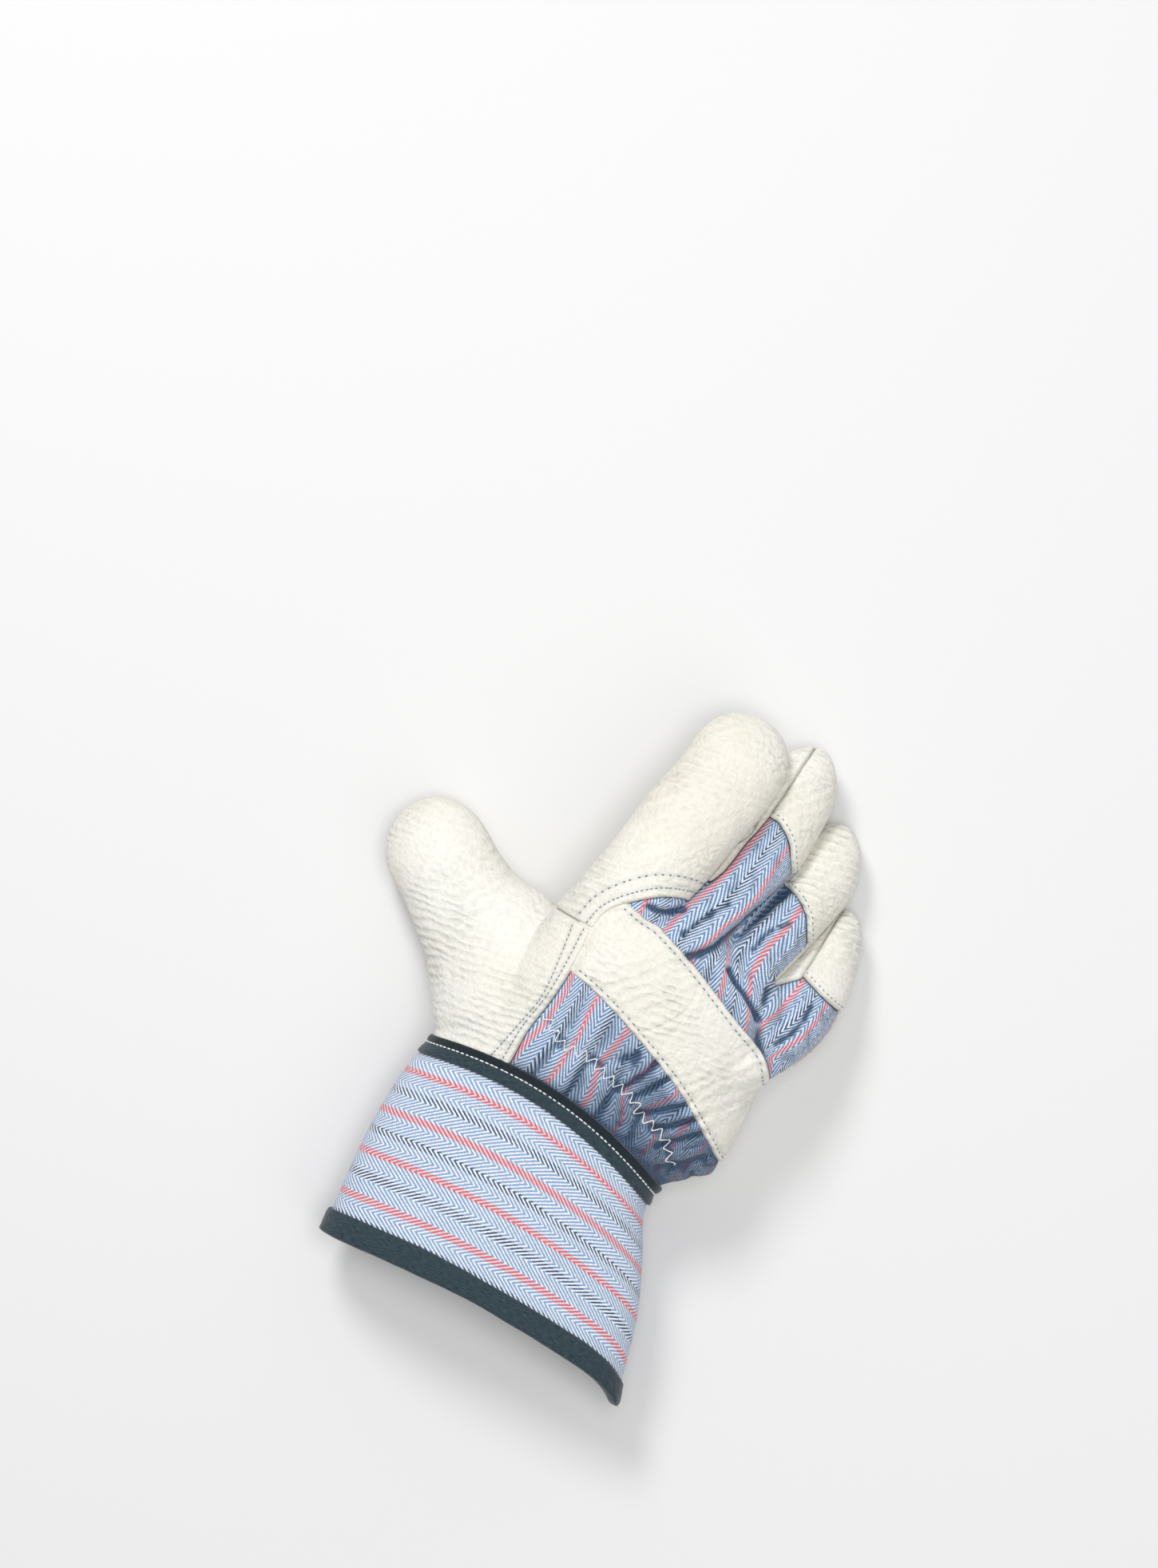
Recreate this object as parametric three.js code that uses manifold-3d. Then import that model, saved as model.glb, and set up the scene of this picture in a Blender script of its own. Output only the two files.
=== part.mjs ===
// A leather work glove for the right hand, lying on its palm with the fingers curled down.
// Millimetres, +Z up. +Y runs from the cuff to the fingers and +X to the little finger.
// The origin is on the surface that the glove rests on, under the middle of its box.
import * as THREE from "three";
import { mergeVertices } from "three/addons/utils/BufferGeometryUtils.js";
import Module from "manifold-3d";

const wasm = await Module();
wasm.setup();

// Driving sizes of the hand
const handLength = 100;
const handWidth = 100;
const handDepth = 60;
const wristWidth = 97;
const wristDepth = 45;

// Driving sizes of the cuff
const cuffLength = 81;
const hemWidth = 124;
const hemDepth = 42;
const hemBand = 8;
const bindingBand = 8.5;

// Driving sizes of the fingers, each measured from a root inside the hand to its tip
const indexLength = 109;
const indexWidth = 36;
const indexDepth = 28;
const middleLength = 109;
const middleWidth = 28.5;
const middleDepth = 25;
const ringLength = 95;
const ringWidth = 25.5;
const ringDepth = 23.5;
const littleLength = 83;
const littleWidth = 26.5;
const littleDepth = 25;
const thumbLength = 94;
const thumbWidth = 38;
const thumbDepth = 33;
const thumbHeading = 57;

// Thicknesses of the materials and the clearance that separate pieces keep
const leather = 1.8;
const cloth = 1.2;
const tape = 1.8;
const gap = 0.3;

// Places of the sewn pieces. The patch starts and ends at shares of wristWidth from the middle.
const middleCap = 33.5;
const ringCap = 36.7;
const littleCap = 31;
const patchLength = 30;
const patchCorner = 7;
const patchStart = -0.31;
const patchEnd = 0.44;

// Folds of the gathered cloth at the wrist. The zigzag seam that holds them slants across the hand.
const gatherHeight = 1.9;
const gatherPitch = 13;
const gatherDip = 2;
const gatherMiddle = 0.2 * handLength;
const gatherReach = 0.2 * handLength;
const gatherSeam = 0.3 * handLength;
const gatherSeamSlope = -0.35;
const gatherSeamReach = 0.05 * handLength;
const gatherTwist = 0.06;

// Colours
const leatherColour = 0xf2eee0;
const clothColour = 0x8ea6c8;
const tapeColour = 0x1f2a33;

// The hand and the cuff lie this far above the rest plane, which leaves room for what is sewn under them.
const restLift = gap + leather;
const stationSpacing = 12;
const fingerSegments = 12;
const thumbSegments = 16;
const handSegments = 44;
const tipSteps = 4;
const cuffShares = [0.3, 0.55, 0.8];

// Offsets are measured from the outer face of the leather, which is the skin that the tables describe.
const hollowOffset = -leather;
const clothOffset = cloth - leather;

// The wrist seam and the open edge aren't square to the glove. Shifts along it at the thumb edge, the middle
// of the back, the little-finger edge and the middle of the front, the wrist's in shares of handLength and
// the hem's of cuffLength. The hem's corner under the little finger droops by a further share.
const wristBow = [0.025, 0.08, -0.045, -0.01];
const hemBow = [0.085, 0.16, 0.125, 0.155];
const hemDroop = 0.065;
const hemDroopPower = 10;

// Sections of the hand, from the wrist seam to the knuckles. at is a share of handLength, middle and half
// are shares of handWidth, low and high of handDepth. bow shifts parts of the section along the hand, as at
// the wrist, and lean lowers the little-finger edge.
const handRows = [
  { at: 0.0, middle: 0.0, half: 0.485, low: 0.0, high: 0.78, lean: 0.0, bow: wristBow },
  { at: 0.08, middle: 0.02, half: 0.503, low: 0.0, high: 0.82, lean: 0.0, bow: [0.02, 0.075, -0.045, 0] },
  { at: 0.12, middle: 0.052, half: 0.525, low: 0.0, high: 0.85, lean: 0.0, bow: [0.02, 0.07, -0.045, 0] },
  { at: 0.18, middle: 0.095, half: 0.535, low: 0.0, high: 0.88, lean: 0.01, bow: [0.01, 0.05, -0.05, 0] },
  { at: 0.32, middle: 0.125, half: 0.52, low: 0.0, high: 0.93, lean: 0.03, bow: [0.01, 0.03, -0.02, 0] },
  { at: 0.47, middle: 0.13, half: 0.5, low: 0.01, high: 0.97, lean: 0.05, bow: [0.01, 0.02, 0, 0] },
  { at: 0.61, middle: 0.14, half: 0.485, low: 0.06, high: 0.98, lean: 0.06, bow: [0.01, 0.02, 0, 0] },
  { at: 0.75, middle: 0.14, half: 0.465, low: 0.13, high: 0.95, lean: 0.07, bow: [0, 0, 0, 0] },
  { at: 0.92, middle: 0.12, half: 0.42, low: 0.2, high: 0.86, lean: 0.07, bow: [0, 0, 0, 0] },
];

// Sections of the cuff, from the wrist seam to the open edge. at is a share of cuffLength. right and left
// are how far each edge has moved out, as shares of what the hem is wider than the wrist. high goes from
// the wrist's height to the hem's.
const cuffRows = [
  { at: 0.0, right: 0.0, left: 0.0, high: 0.0 },
  { at: 0.12, right: 0.08, left: 0.1, high: 0.2 },
  { at: 0.3, right: 0.34, left: 0.14, high: 0.3 },
  { at: 0.6, right: 0.7, left: 0.12, high: 0.6 },
  { at: 1.0, right: 1.0, left: 0.0, high: 1.0 },
];

// Sections of the fingers. at is a share of the finger's length, middle of handWidth, height of handDepth,
// half and thick of half the finger's width and depth.
const indexRows = [
  { at: 0.0, middle: -0.11, half: 1.08, height: 0.69, thick: 1.1 },
  { at: 0.22, middle: -0.115, half: 1.07, height: 0.69, thick: 1.1 },
  { at: 0.4, middle: -0.094, half: 1.0, height: 0.675, thick: 1.05 },
  { at: 0.59, middle: -0.066, half: 1.01, height: 0.63, thick: 1.0 },
  { at: 0.77, middle: -0.029, half: 1.0, height: 0.56, thick: 0.97 },
  { at: 1.0, middle: -0.02, half: 0.95, height: 0.43, thick: 0.9 },
];
const middleRows = [
  { at: 0.0, middle: 0.11, half: 1.08, height: 0.73, thick: 1.12 },
  { at: 0.18, middle: 0.12, half: 1.05, height: 0.72, thick: 1.12 },
  { at: 0.34, middle: 0.155, half: 1.05, height: 0.61, thick: 1.06 },
  { at: 0.5, middle: 0.198, half: 1.03, height: 0.46, thick: 1.0 },
  { at: 0.64, middle: 0.22, half: 1.01, height: 0.36, thick: 1.0 },
  { at: 0.8, middle: 0.225, half: 0.97, height: 0.29, thick: 0.96 },
  { at: 1.0, middle: 0.222, half: 0.92, height: 0.22, thick: 0.85 },
];
const ringRows = [
  { at: 0.0, middle: 0.31, half: 1.1, height: 0.68, thick: 1.15 },
  { at: 0.21, middle: 0.325, half: 1.1, height: 0.67, thick: 1.15 },
  { at: 0.35, middle: 0.36, half: 1.0, height: 0.56, thick: 1.1 },
  { at: 0.5, middle: 0.407, half: 0.94, height: 0.41, thick: 1.04 },
  { at: 0.66, middle: 0.442, half: 0.96, height: 0.275, thick: 1.02 },
  { at: 0.79, middle: 0.458, half: 0.98, height: 0.18, thick: 1.0 },
  { at: 1.0, middle: 0.442, half: 0.94, height: 0.14, thick: 0.85 },
];
const littleRows = [
  { at: 0.0, middle: 0.46, half: 0.9, height: 0.5, thick: 1.0 },
  { at: 0.17, middle: 0.494, half: 1.1, height: 0.585, thick: 1.12 },
  { at: 0.31, middle: 0.557, half: 1.16, height: 0.5, thick: 1.14 },
  { at: 0.47, middle: 0.598, half: 1.19, height: 0.4, thick: 1.1 },
  { at: 0.65, middle: 0.62, half: 1.0, height: 0.29, thick: 1.05 },
  { at: 0.79, middle: 0.622, half: 0.84, height: 0.19, thick: 0.98 },
  { at: 1.0, middle: 0.607, half: 0.8, height: 0.15, thick: 0.85 },
];

// Sections of the thumb, square to its own heading. middle is measured across it as a share of handWidth.
const thumbRows = [
  { at: 0.0, middle: 0.115, half: 1.37, height: 0.42, thick: 1.28 },
  { at: 0.18, middle: 0.108, half: 1.58, height: 0.41, thick: 1.3 },
  { at: 0.32, middle: 0.132, half: 1.46, height: 0.375, thick: 1.26 },
  { at: 0.43, middle: 0.137, half: 1.3, height: 0.345, thick: 1.18 },
  { at: 0.58, middle: 0.111, half: 1.065, height: 0.305, thick: 1.08 },
  { at: 0.77, middle: 0.104, half: 1.0, height: 0.26, thick: 1.0 },
  { at: 1.0, middle: 0.105, half: 0.96, height: 0.22, thick: 0.9 },
];

// Seams in plan, as shares of handWidth and handLength
const thumbBackSeam = [
  { x: -0.198, y: -0.3 },
  { x: -0.198, y: 0.1 },
  { x: -0.201, y: 0.25 },
  { x: -0.183, y: 0.393 },
  { x: -0.176, y: 0.514 },
  { x: -0.181, y: 0.69 },
];
const thumbFrontSeam = [
  { x: -0.39, y: -0.3 },
  { x: -0.385, y: 0.1 },
  { x: -0.36, y: 0.3 },
  { x: -0.335, y: 0.5 },
  { x: -0.32, y: 0.69 },
];
const indexBaseSeam = [
  { x: -0.181, y: 0.69 },
  { x: -0.167, y: 0.77 },
  { x: -0.109, y: 0.844 },
  { x: -0.017, y: 0.918 },
  { x: 0.079, y: 0.955 },
  { x: 0.2, y: 0.98 },
];
const strapOutline = [
  { x: -0.19, y: 0.5 },
  { x: -0.2, y: 0.68 },
  { x: -0.12, y: 0.8 },
  { x: -0.08, y: 0.82 },
  { x: 0.045, y: 0.81 },
  { x: 0.21, y: 0.755 },
  { x: 0.43, y: 0.664 },
  { x: 0.59, y: 0.602 },
  { x: 0.66, y: 0.52 },
  { x: 0.75, y: 0.5 },
  { x: 0.75, y: 0.15 },
  { x: 0.63, y: 0.19 },
  { x: 0.56, y: 0.23 },
  { x: 0.385, y: 0.336 },
  { x: 0.165, y: 0.427 },
  { x: -0.04, y: 0.493 },
];

const toward = (degrees) => {
  const turn = THREE.MathUtils.degToRad(degrees);
  return {
    along: new THREE.Vector2(-Math.sin(turn), Math.cos(turn)),
    across: new THREE.Vector2(Math.cos(turn), Math.sin(turn)),
  };
};

// A smooth value between the rows of a table: a cubic through the rows with slopes from their neighbours.
function between(rows, at, read) {
  let k = 0;
  while (k < rows.length - 2 && at > rows[k + 1].at) {
    k += 1;
  }
  const slope = (i) => {
    const before = rows[Math.max(i - 1, 0)];
    const after = rows[Math.min(i + 1, rows.length - 1)];
    return (read(after) - read(before)) / (after.at - before.at);
  };
  const span = rows[k + 1].at - rows[k].at;
  const t = (at - rows[k].at) / span;
  const rise = 3 * t * t - 2 * t * t * t;
  const values = (1 - rise) * read(rows[k]) + rise * read(rows[k + 1]);
  const startSlope = (t * t * t - 2 * t * t + t) * slope(k);
  const endSlope = (t * t * t - t * t) * slope(k + 1);
  return values + span * (startSlope + endSlope);
}

// The bow of a section: a parabola through the values at its two edges and at its middle, which differs
// between the back of the glove and its front.
function bowAt([left, back, right, front], x, underneath = false) {
  const centre = underneath ? front : back;
  return centre + ((right - left) / 2) * x + ((left + right) / 2 - centre) * x * x;
}

// The folds of the gathered back: puffs across the hand that start at the binding and fade out along the
// hand, and a dip at the zigzag seam.
function gatherFold(x, y, s) {
  const start = THREE.MathUtils.smoothstep(s, bindingBand / 2, bindingBand);
  const window = start * Math.exp(-(((y - gatherMiddle) / gatherReach) ** 2));
  const seam = gatherSeam + gatherSeamSlope * x;
  const dip = gatherDip * Math.exp(-(((y - seam) / gatherSeamReach) ** 2));
  const turn = (2 * Math.PI * x) / gatherPitch + gatherTwist * (y - seam);
  return window * (gatherHeight * Math.cos(turn) - dip);
}

// A tube gives its section at a length s: middle, half width, centre height, half depth, lean and bow. Up to
// the end of the wrist, a share of the hand's length, its width and height go over to the wrist's own sizes.
const wristRow = handRows[0];
const wristShare = 0.32;
const hand = {
  length: handRows[handRows.length - 1].at * handLength,
  tip: 0.18 * handLength,
  power: 2.2,
  squareness: 2.4,
  heading: 0,
  root: [0, 0],
  floor: restLift,
  segments: handSegments,
  gathered: true,
  section(s) {
    const at = s / handLength;
    const read = (name) => between(handRows, at, (row) => row[name]);
    const atWrist = Math.max(0, 1 - at / wristShare);
    const widest = THREE.MathUtils.lerp(handWidth, wristWidth / (2 * wristRow.half), atWrist);
    const highest = THREE.MathUtils.lerp(handDepth, (wristDepth + restLift) / wristRow.high, atWrist);
    const high = read("high") * highest;
    const low = read("low") * handDepth;
    return {
      middle: read("middle") * handWidth,
      half: read("half") * widest,
      height: (high + low) / 2,
      thick: (high - low) / 2,
      lean: read("lean") * handDepth,
      bow: [0, 1, 2, 3].map((i) => between(handRows, at, (row) => row.bow[i]) * handLength),
    };
  },
};

// A finger starts at root, a share of handLength. tip is the length that its end is rounded over, and power
// how full that end is.
function finger(rows, length, width, depth, { root, tip, power }) {
  return {
    length,
    tip,
    power,
    squareness: 2.15,
    heading: 0,
    root: [0, root * handLength],
    floor: 0,
    segments: fingerSegments,
    section(s) {
      const read = (name) => between(rows, s / length, (row) => row[name]);
      return {
        middle: read("middle") * handWidth,
        half: (read("half") * width) / 2,
        height: read("height") * handDepth,
        thick: (read("thick") * depth) / 2,
        lean: 0,
        bow: [0, 0, 0, 0],
      };
    },
  };
}
const indexForm = { root: 0.563, tip: 18, power: 2.2 };
const middleForm = { root: 0.583, tip: 21, power: 1.85 };
const ringForm = { root: 0.522, tip: 22, power: 2.05 };
const littleForm = { root: 0.382, tip: 20, power: 1.95 };
const thumbForm = { root: 0.285, tip: 20, power: 2.1 };
const index = finger(indexRows, indexLength, indexWidth, indexDepth, indexForm);
const middle = finger(middleRows, middleLength, middleWidth, middleDepth, middleForm);
const ring = finger(ringRows, ringLength, ringWidth, ringDepth, ringForm);
const little = finger(littleRows, littleLength, littleWidth, littleDepth, littleForm);
const thumb = finger(thumbRows, thumbLength, thumbWidth, thumbDepth, thumbForm);
thumb.heading = thumbHeading;
thumb.segments = thumbSegments;
thumb.root = toward(thumbHeading).along.multiplyScalar(thumb.root[1]).toArray();
const fingers = [index, middle, ring, little];

// A point of a tube's skin at length s, moved out by offset. The end is rounded off over the tip's length.
function skin(tube, s, angle, offset) {
  const bodyEnd = tube.length - tube.tip;
  const past = Math.max(0, (s - bodyEnd) / (tube.tip + offset));
  const shrink = Math.max(0, 1 - past ** tube.power) ** (1 / tube.power);
  const row = tube.section(s);
  const power = 2 / tube.squareness;
  const x = Math.sign(Math.cos(angle)) * Math.abs(Math.cos(angle)) ** power;
  const z = Math.sign(Math.sin(angle)) * Math.abs(Math.sin(angle)) ** power;
  const across = row.middle + (row.half + offset) * shrink * x;
  const along = s + bowAt(row.bow, x, z < 0);
  let height = row.height + (row.thick + offset) * shrink * z - row.lean * x;
  if (tube.gathered && z > 0) {
    height += gatherFold(across, along, s) * Math.min(1, 2 * z) * shrink;
  }
  height = Math.max(height, tube.floor - offset);
  const way = toward(tube.heading);
  return new THREE.Vector3(
    tube.root[0] + along * way.along.x + across * way.across.x,
    tube.root[1] + along * way.along.y + across * way.across.y,
    height,
  );
}

const weld = 1e-4;

function toSolid(geometry) {
  const bare = geometry.clone();
  bare.deleteAttribute("normal");
  bare.deleteAttribute("uv");
  const merged = mergeVertices(bare, weld);
  const mesh = new wasm.Mesh({
    numProp: 3,
    vertProperties: new Float32Array(merged.attributes.position.array),
    triVerts: new Uint32Array(merged.index.array),
  });
  return new wasm.Manifold(mesh);
}

function solidFromRings(rings, startPoint, endPoint) {
  const positions = [];
  const faces = [];
  const count = rings[0].length;
  rings.forEach((ring) => ring.forEach((p) => positions.push(p.x, p.y, p.z)));
  const first = positions.length / 3;
  positions.push(startPoint.x, startPoint.y, startPoint.z);
  positions.push(endPoint.x, endPoint.y, endPoint.z);
  for (let j = 0; j < count; j += 1) {
    const k = (j + 1) % count;
    faces.push(first, j, k);
    for (let i = 0; i + 1 < rings.length; i += 1) {
      const a = i * count;
      const b = a + count;
      faces.push(a + j, b + j, a + k);
      faces.push(a + k, b + j, b + k);
    }
    const last = (rings.length - 1) * count;
    faces.push(first + 1, last + k, last + j);
  }
  const geometry = new THREE.BufferGeometry();
  geometry.setAttribute("position", new THREE.Float32BufferAttribute(positions, 3));
  geometry.setIndex(faces);
  return toSolid(geometry);
}

const average = (points) =>
  points.reduce((sum, p) => sum.add(p), new THREE.Vector3()).multiplyScalar(1 / points.length);

// The lengths at which a tube's body has its sections. The hand has one more, under the binding's edge.
const bindingEdge = bindingBand / 2;

function stationsOf(tube) {
  const bodyEnd = tube.length - tube.tip;
  const start = tube === hand ? bindingEdge : 0;
  const steps = Math.round((bodyEnd - start) / stationSpacing);
  const lengths = Array.from({ length: steps + 1 }, (_, i) => start + ((bodyEnd - start) * i) / steps);
  return tube === hand ? [0, ...lengths] : lengths;
}

// The closed solid inside a tube's skin at an offset. before starts it ahead of the tube's own start, and
// the start is hollowed a little, so that the wall's end stays behind the seam.
function tubeSolid(tube, offset, before = 0) {
  const bodyEnd = tube.length - tube.tip;
  const lengths = stationsOf(tube);
  for (let i = 1; i < tipSteps; i += 1) {
    lengths.push(bodyEnd + (tube.tip + offset) * Math.sin((Math.PI / 2) * (i / tipSteps)));
  }
  const step = (2 * Math.PI) / tube.segments;
  const angles = Array.from({ length: tube.segments }, (_, j) => step * (j + 0.5));
  const ringAt = (s) => angles.map((angle) => skin(tube, s, angle, offset));
  const rings = lengths.map(ringAt);
  const way = new THREE.Vector3(toward(tube.heading).along.x, toward(tube.heading).along.y, 0);
  if (before > 0) {
    rings.unshift(rings[0].map((p) => p.clone().addScaledVector(way, -before)));
  }
  const recess = average(rings[0]).addScaledVector(way, stationSpacing);
  const apex = average([0, Math.PI].map((angle) => skin(tube, tube.length + offset, angle, offset)));
  return solidFromRings(rings, recess, apex);
}

// The part of space above a tube's side seams, as a wedge from its centre line. The angles open from the
// right side and from the left side, and lower drops the wedge so that it can cut a clearance.
function seamWedge(tube, rightSeam, leftSeam, lower) {
  const steps = 12;
  const ahead = 0.4 * handLength;
  const reach = 2.2 * handWidth;
  const wider = 1.6;
  const rings = [];
  for (let i = 0; i <= steps; i += 1) {
    const s = ((tube.length + 2 * ahead) * i) / steps - ahead;
    const inside = THREE.MathUtils.clamp(s, 0, tube.length);
    const row = tube.section(inside);
    const way = toward(tube.heading);
    const wide = row.half * wider;
    const corner = (across, up, shift) => {
      const x = across / row.half;
      const along = s + bowAt(row.bow, THREE.MathUtils.clamp(x, -1, 1));
      return new THREE.Vector3(
        tube.root[0] + along * way.along.x + (row.middle + across) * way.across.x,
        tube.root[1] + along * way.along.y + (row.middle + across) * way.across.y,
        row.height - row.lean * THREE.MathUtils.clamp(x, -1, 1) + up + shift,
      );
    };
    rings.push([
      corner(0, 0, -lower),
      corner(wide, wide * Math.tan(rightSeam), -lower),
      corner(wide, reach, 0),
      corner(-wide, reach, 0),
      corner(-wide, wide * Math.tan(leftSeam), -lower),
    ]);
  }
  return solidFromRings(rings, average(rings[0]), average(rings[rings.length - 1]));
}

// A vertical prism over a plan outline, moved outward by grow.
function prism(points, grow) {
  const sharpest = 0.5;
  const plan = points.map((p) => new THREE.Vector2(p.x, p.y));
  const turn = THREE.ShapeUtils.area(plan) > 0 ? 1 : -1;
  const moved = plan.map((p, i) => {
    const before = plan[(i + plan.length - 1) % plan.length];
    const after = plan[(i + 1) % plan.length];
    const inDirection = p.clone().sub(before).normalize();
    const outDirection = after.clone().sub(p).normalize();
    const normalIn = new THREE.Vector2(inDirection.y, -inDirection.x).multiplyScalar(turn);
    const normalOut = new THREE.Vector2(outDirection.y, -outDirection.x).multiplyScalar(turn);
    const mitre = normalIn.clone().add(normalOut);
    return p.clone().add(mitre.multiplyScalar(grow / Math.max(sharpest, 1 + normalIn.dot(normalOut))));
  });
  const reach = 2 * handDepth;
  const depth = 2 * reach;
  const geometry = new THREE.ExtrudeGeometry(new THREE.Shape(moved), { depth, bevelEnabled: false });
  geometry.translate(0, 0, -reach);
  return toSolid(geometry);
}

const onHand = (rows) => rows.map((row) => ({ x: row.x * handWidth, y: row.y * handLength }));

// A wall or band round the hand or the cuff: a closed loop of places, each with a length and an offset,
// swept once round the section.
function ringSweep(place, loop, segments) {
  const positions = [];
  const faces = [];
  for (let j = 0; j < segments; j += 1) {
    const angle = (2 * Math.PI * (j + 0.5)) / segments;
    loop.forEach(([s, offset]) => {
      const p = place(s, angle, offset);
      positions.push(p.x, p.y, p.z);
    });
  }
  const count = loop.length;
  for (let j = 0; j < segments; j += 1) {
    const next = (j + 1) % segments;
    for (let i = 0; i < count; i += 1) {
      const k = (i + 1) % count;
      faces.push(j * count + i, next * count + i, j * count + k);
      faces.push(j * count + k, next * count + i, next * count + k);
    }
  }
  const geometry = new THREE.BufferGeometry();
  geometry.setAttribute("position", new THREE.Float32BufferAttribute(positions, 3));
  geometry.setIndex(faces);
  return toSolid(geometry);
}

// A point of the cuff's outer face at length s from the wrist seam. Before the seam it runs over the hand.
function cuffSkin(s, angle, offset) {
  if (s < 0) {
    return skin({ ...hand, gathered: false }, -s, angle, offset);
  }
  const at = Math.min(s / cuffLength, 1);
  const read = (name) => between(cuffRows, at, (row) => row[name]);
  const power = 2 / hand.squareness;
  const x = Math.sign(Math.cos(angle)) * Math.abs(Math.cos(angle)) ** power;
  const z = Math.sign(Math.sin(angle)) * Math.abs(Math.sin(angle)) ** power;
  const wrist = hand.section(0);
  const spread = hemWidth - 2 * wrist.half;
  const leftEdge = wrist.middle - wrist.half - read("left") * spread;
  const rightEdge = wrist.middle + wrist.half + read("right") * spread;
  const middleOf = (leftEdge + rightEdge) / 2;
  const half = (rightEdge - leftEdge) / 2;
  const top = THREE.MathUtils.lerp(wrist.height + wrist.thick, hemDepth + restLift, read("high"));
  const bottom = wrist.height - wrist.thick;
  const wristShift = bowAt(wristBow, x, z < 0) * handLength;
  const hemShift = bowAt(hemBow, x, z < 0) - hemDroop * Math.max(0, x) ** hemDroopPower;
  const bow = THREE.MathUtils.lerp(wristShift, hemShift * cuffLength, at);
  const height = (top + bottom) / 2 + ((top - bottom) / 2 + offset) * z;
  return new THREE.Vector3(middleOf + (half + offset) * x, bow - s, Math.max(height, restLift - offset));
}

// The hollow of the whole glove runs on past the wrist, and what is cut away by the hand starts ahead of it.
const openAhead = 30;
const cutAhead = 5;
const tubes = [hand, thumb, ...fingers];
const hollow = wasm.Manifold.union(
  tubes.map((tube) => tubeSolid(tube, hollowOffset, tube === hand ? openAhead : 0)),
);
const handGrown = tubeSolid(hand, gap, cutAhead);

// A finger's wall is let into the hand's wall by this much, so that the two join in one piece.
const sink = 0.2;

// The two shares of the hand that belong to the thumb lap each other by this much at the side seam.
const lap = 0.5;

// Side seams: the back of each tube is what lies above them
const seams = new Map([
  [hand, { right: 0, left: 0 }],
  [index, { right: 0, left: 0 }],
  [middle, { right: 0, left: 0.75 }],
  [ring, { right: 0, left: 0.3 }],
  [little, { right: 0, left: 0.75 }],
]);
const above = (tube, lower) => seamWedge(tube, seams.get(tube).right, seams.get(tube).left, lower);
const handAbove = above(hand, gap / 2);
const handNearAbove = above(hand, -gap / 2);

// A finger's back or front outside the hand, clear of the other half of the hand
function fingerBack(tube, offset) {
  const outside = tubeSolid(tube, offset).subtract(tubeSolid(hand, offset - sink, cutAhead));
  return outside.intersect(above(tube, -gap / 2)).subtract(handGrown.subtract(handNearAbove));
}
function fingerFront(tube, offset) {
  const outside = tubeSolid(tube, offset).subtract(tubeSolid(hand, offset - sink, cutAhead));
  return outside.subtract(above(tube, gap / 2)).subtract(handGrown.intersect(handAbove));
}

// The largest body of a solid, without the slivers that a cut may leave
function largest(solid) {
  const bodies = solid.decompose();
  return bodies.reduce((best, body) => (body.volume() > best.volume() ? body : best));
}

// Plan regions of the sewn pieces on the hand
const far = 2;
const crotch = { x: -0.347, y: 0.69 };
const beyondThumb = [
  { x: -0.8, y: far },
  { x: -far, y: far },
  { x: -far, y: -0.3 },
];
const thumbBackPlan = onHand([...thumbBackSeam, crotch, ...beyondThumb]);
const thumbFrontPlan = onHand([...thumbFrontSeam, ...beyondThumb]);
const indexPlan = onHand([...indexBaseSeam, { x: 0.2, y: far }, { x: -0.6, y: far }, crotch]);

// The thumb: its tube and its share of the hand's back and front
const thumbTube = tubeSolid(thumb, 0).subtract(tubeSolid(hand, -sink, cutAhead));
const handLeather = tubeSolid(hand, 0);
const thumbBase = handLeather
  .intersect(above(hand, lap))
  .intersect(prism(thumbBackPlan, 0))
  .add(handLeather.subtract(above(hand, -lap)).intersect(prism(thumbFrontPlan, 0)));
const thumbSolid = largest(thumbTube.add(thumbBase).subtract(hollow));
const thumbClear = wasm.Manifold.union([
  tubeSolid(thumb, gap).subtract(tubeSolid(hand, -sink - gap, cutAhead)),
  handGrown.intersect(above(hand, lap)).intersect(prism(thumbBackPlan, gap)),
  handGrown.subtract(above(hand, -lap)).intersect(prism(thumbFrontPlan, gap)),
]);

// The back of the index finger
const indexPrism = prism(indexPlan, 0);
const indexTubeClear = tubeSolid(index, gap);
const indexFrontClear = indexTubeClear.subtract(above(index, -gap / 2));
const indexBackClear = indexTubeClear.add(handGrown.intersect(handAbove)).intersect(prism(indexPlan, gap));
const indexBack = largest(
  handLeather
    .intersect(handNearAbove)
    .add(fingerBack(index, 0))
    .intersect(indexPrism)
    .subtract(hollow)
    .subtract(thumbClear),
);

// The palm with the fronts of the index and little finger
const palm = largest(
  handLeather
    .subtract(handAbove)
    .add(fingerFront(index, 0))
    .add(fingerFront(little, 0))
    .subtract(hollow)
    .subtract(thumbClear),
);
const littleClear = tubeSolid(little, gap);
const middleClear = tubeSolid(middle, gap);
const ringClear = tubeSolid(ring, gap);
const middleFront = largest(
  fingerFront(middle, 0).subtract(handGrown).subtract(hollow).subtract(indexTubeClear),
);
const ringFront = largest(
  fingerFront(ring, 0).subtract(handGrown).subtract(hollow).subtract(middleClear).subtract(littleClear),
);

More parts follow.
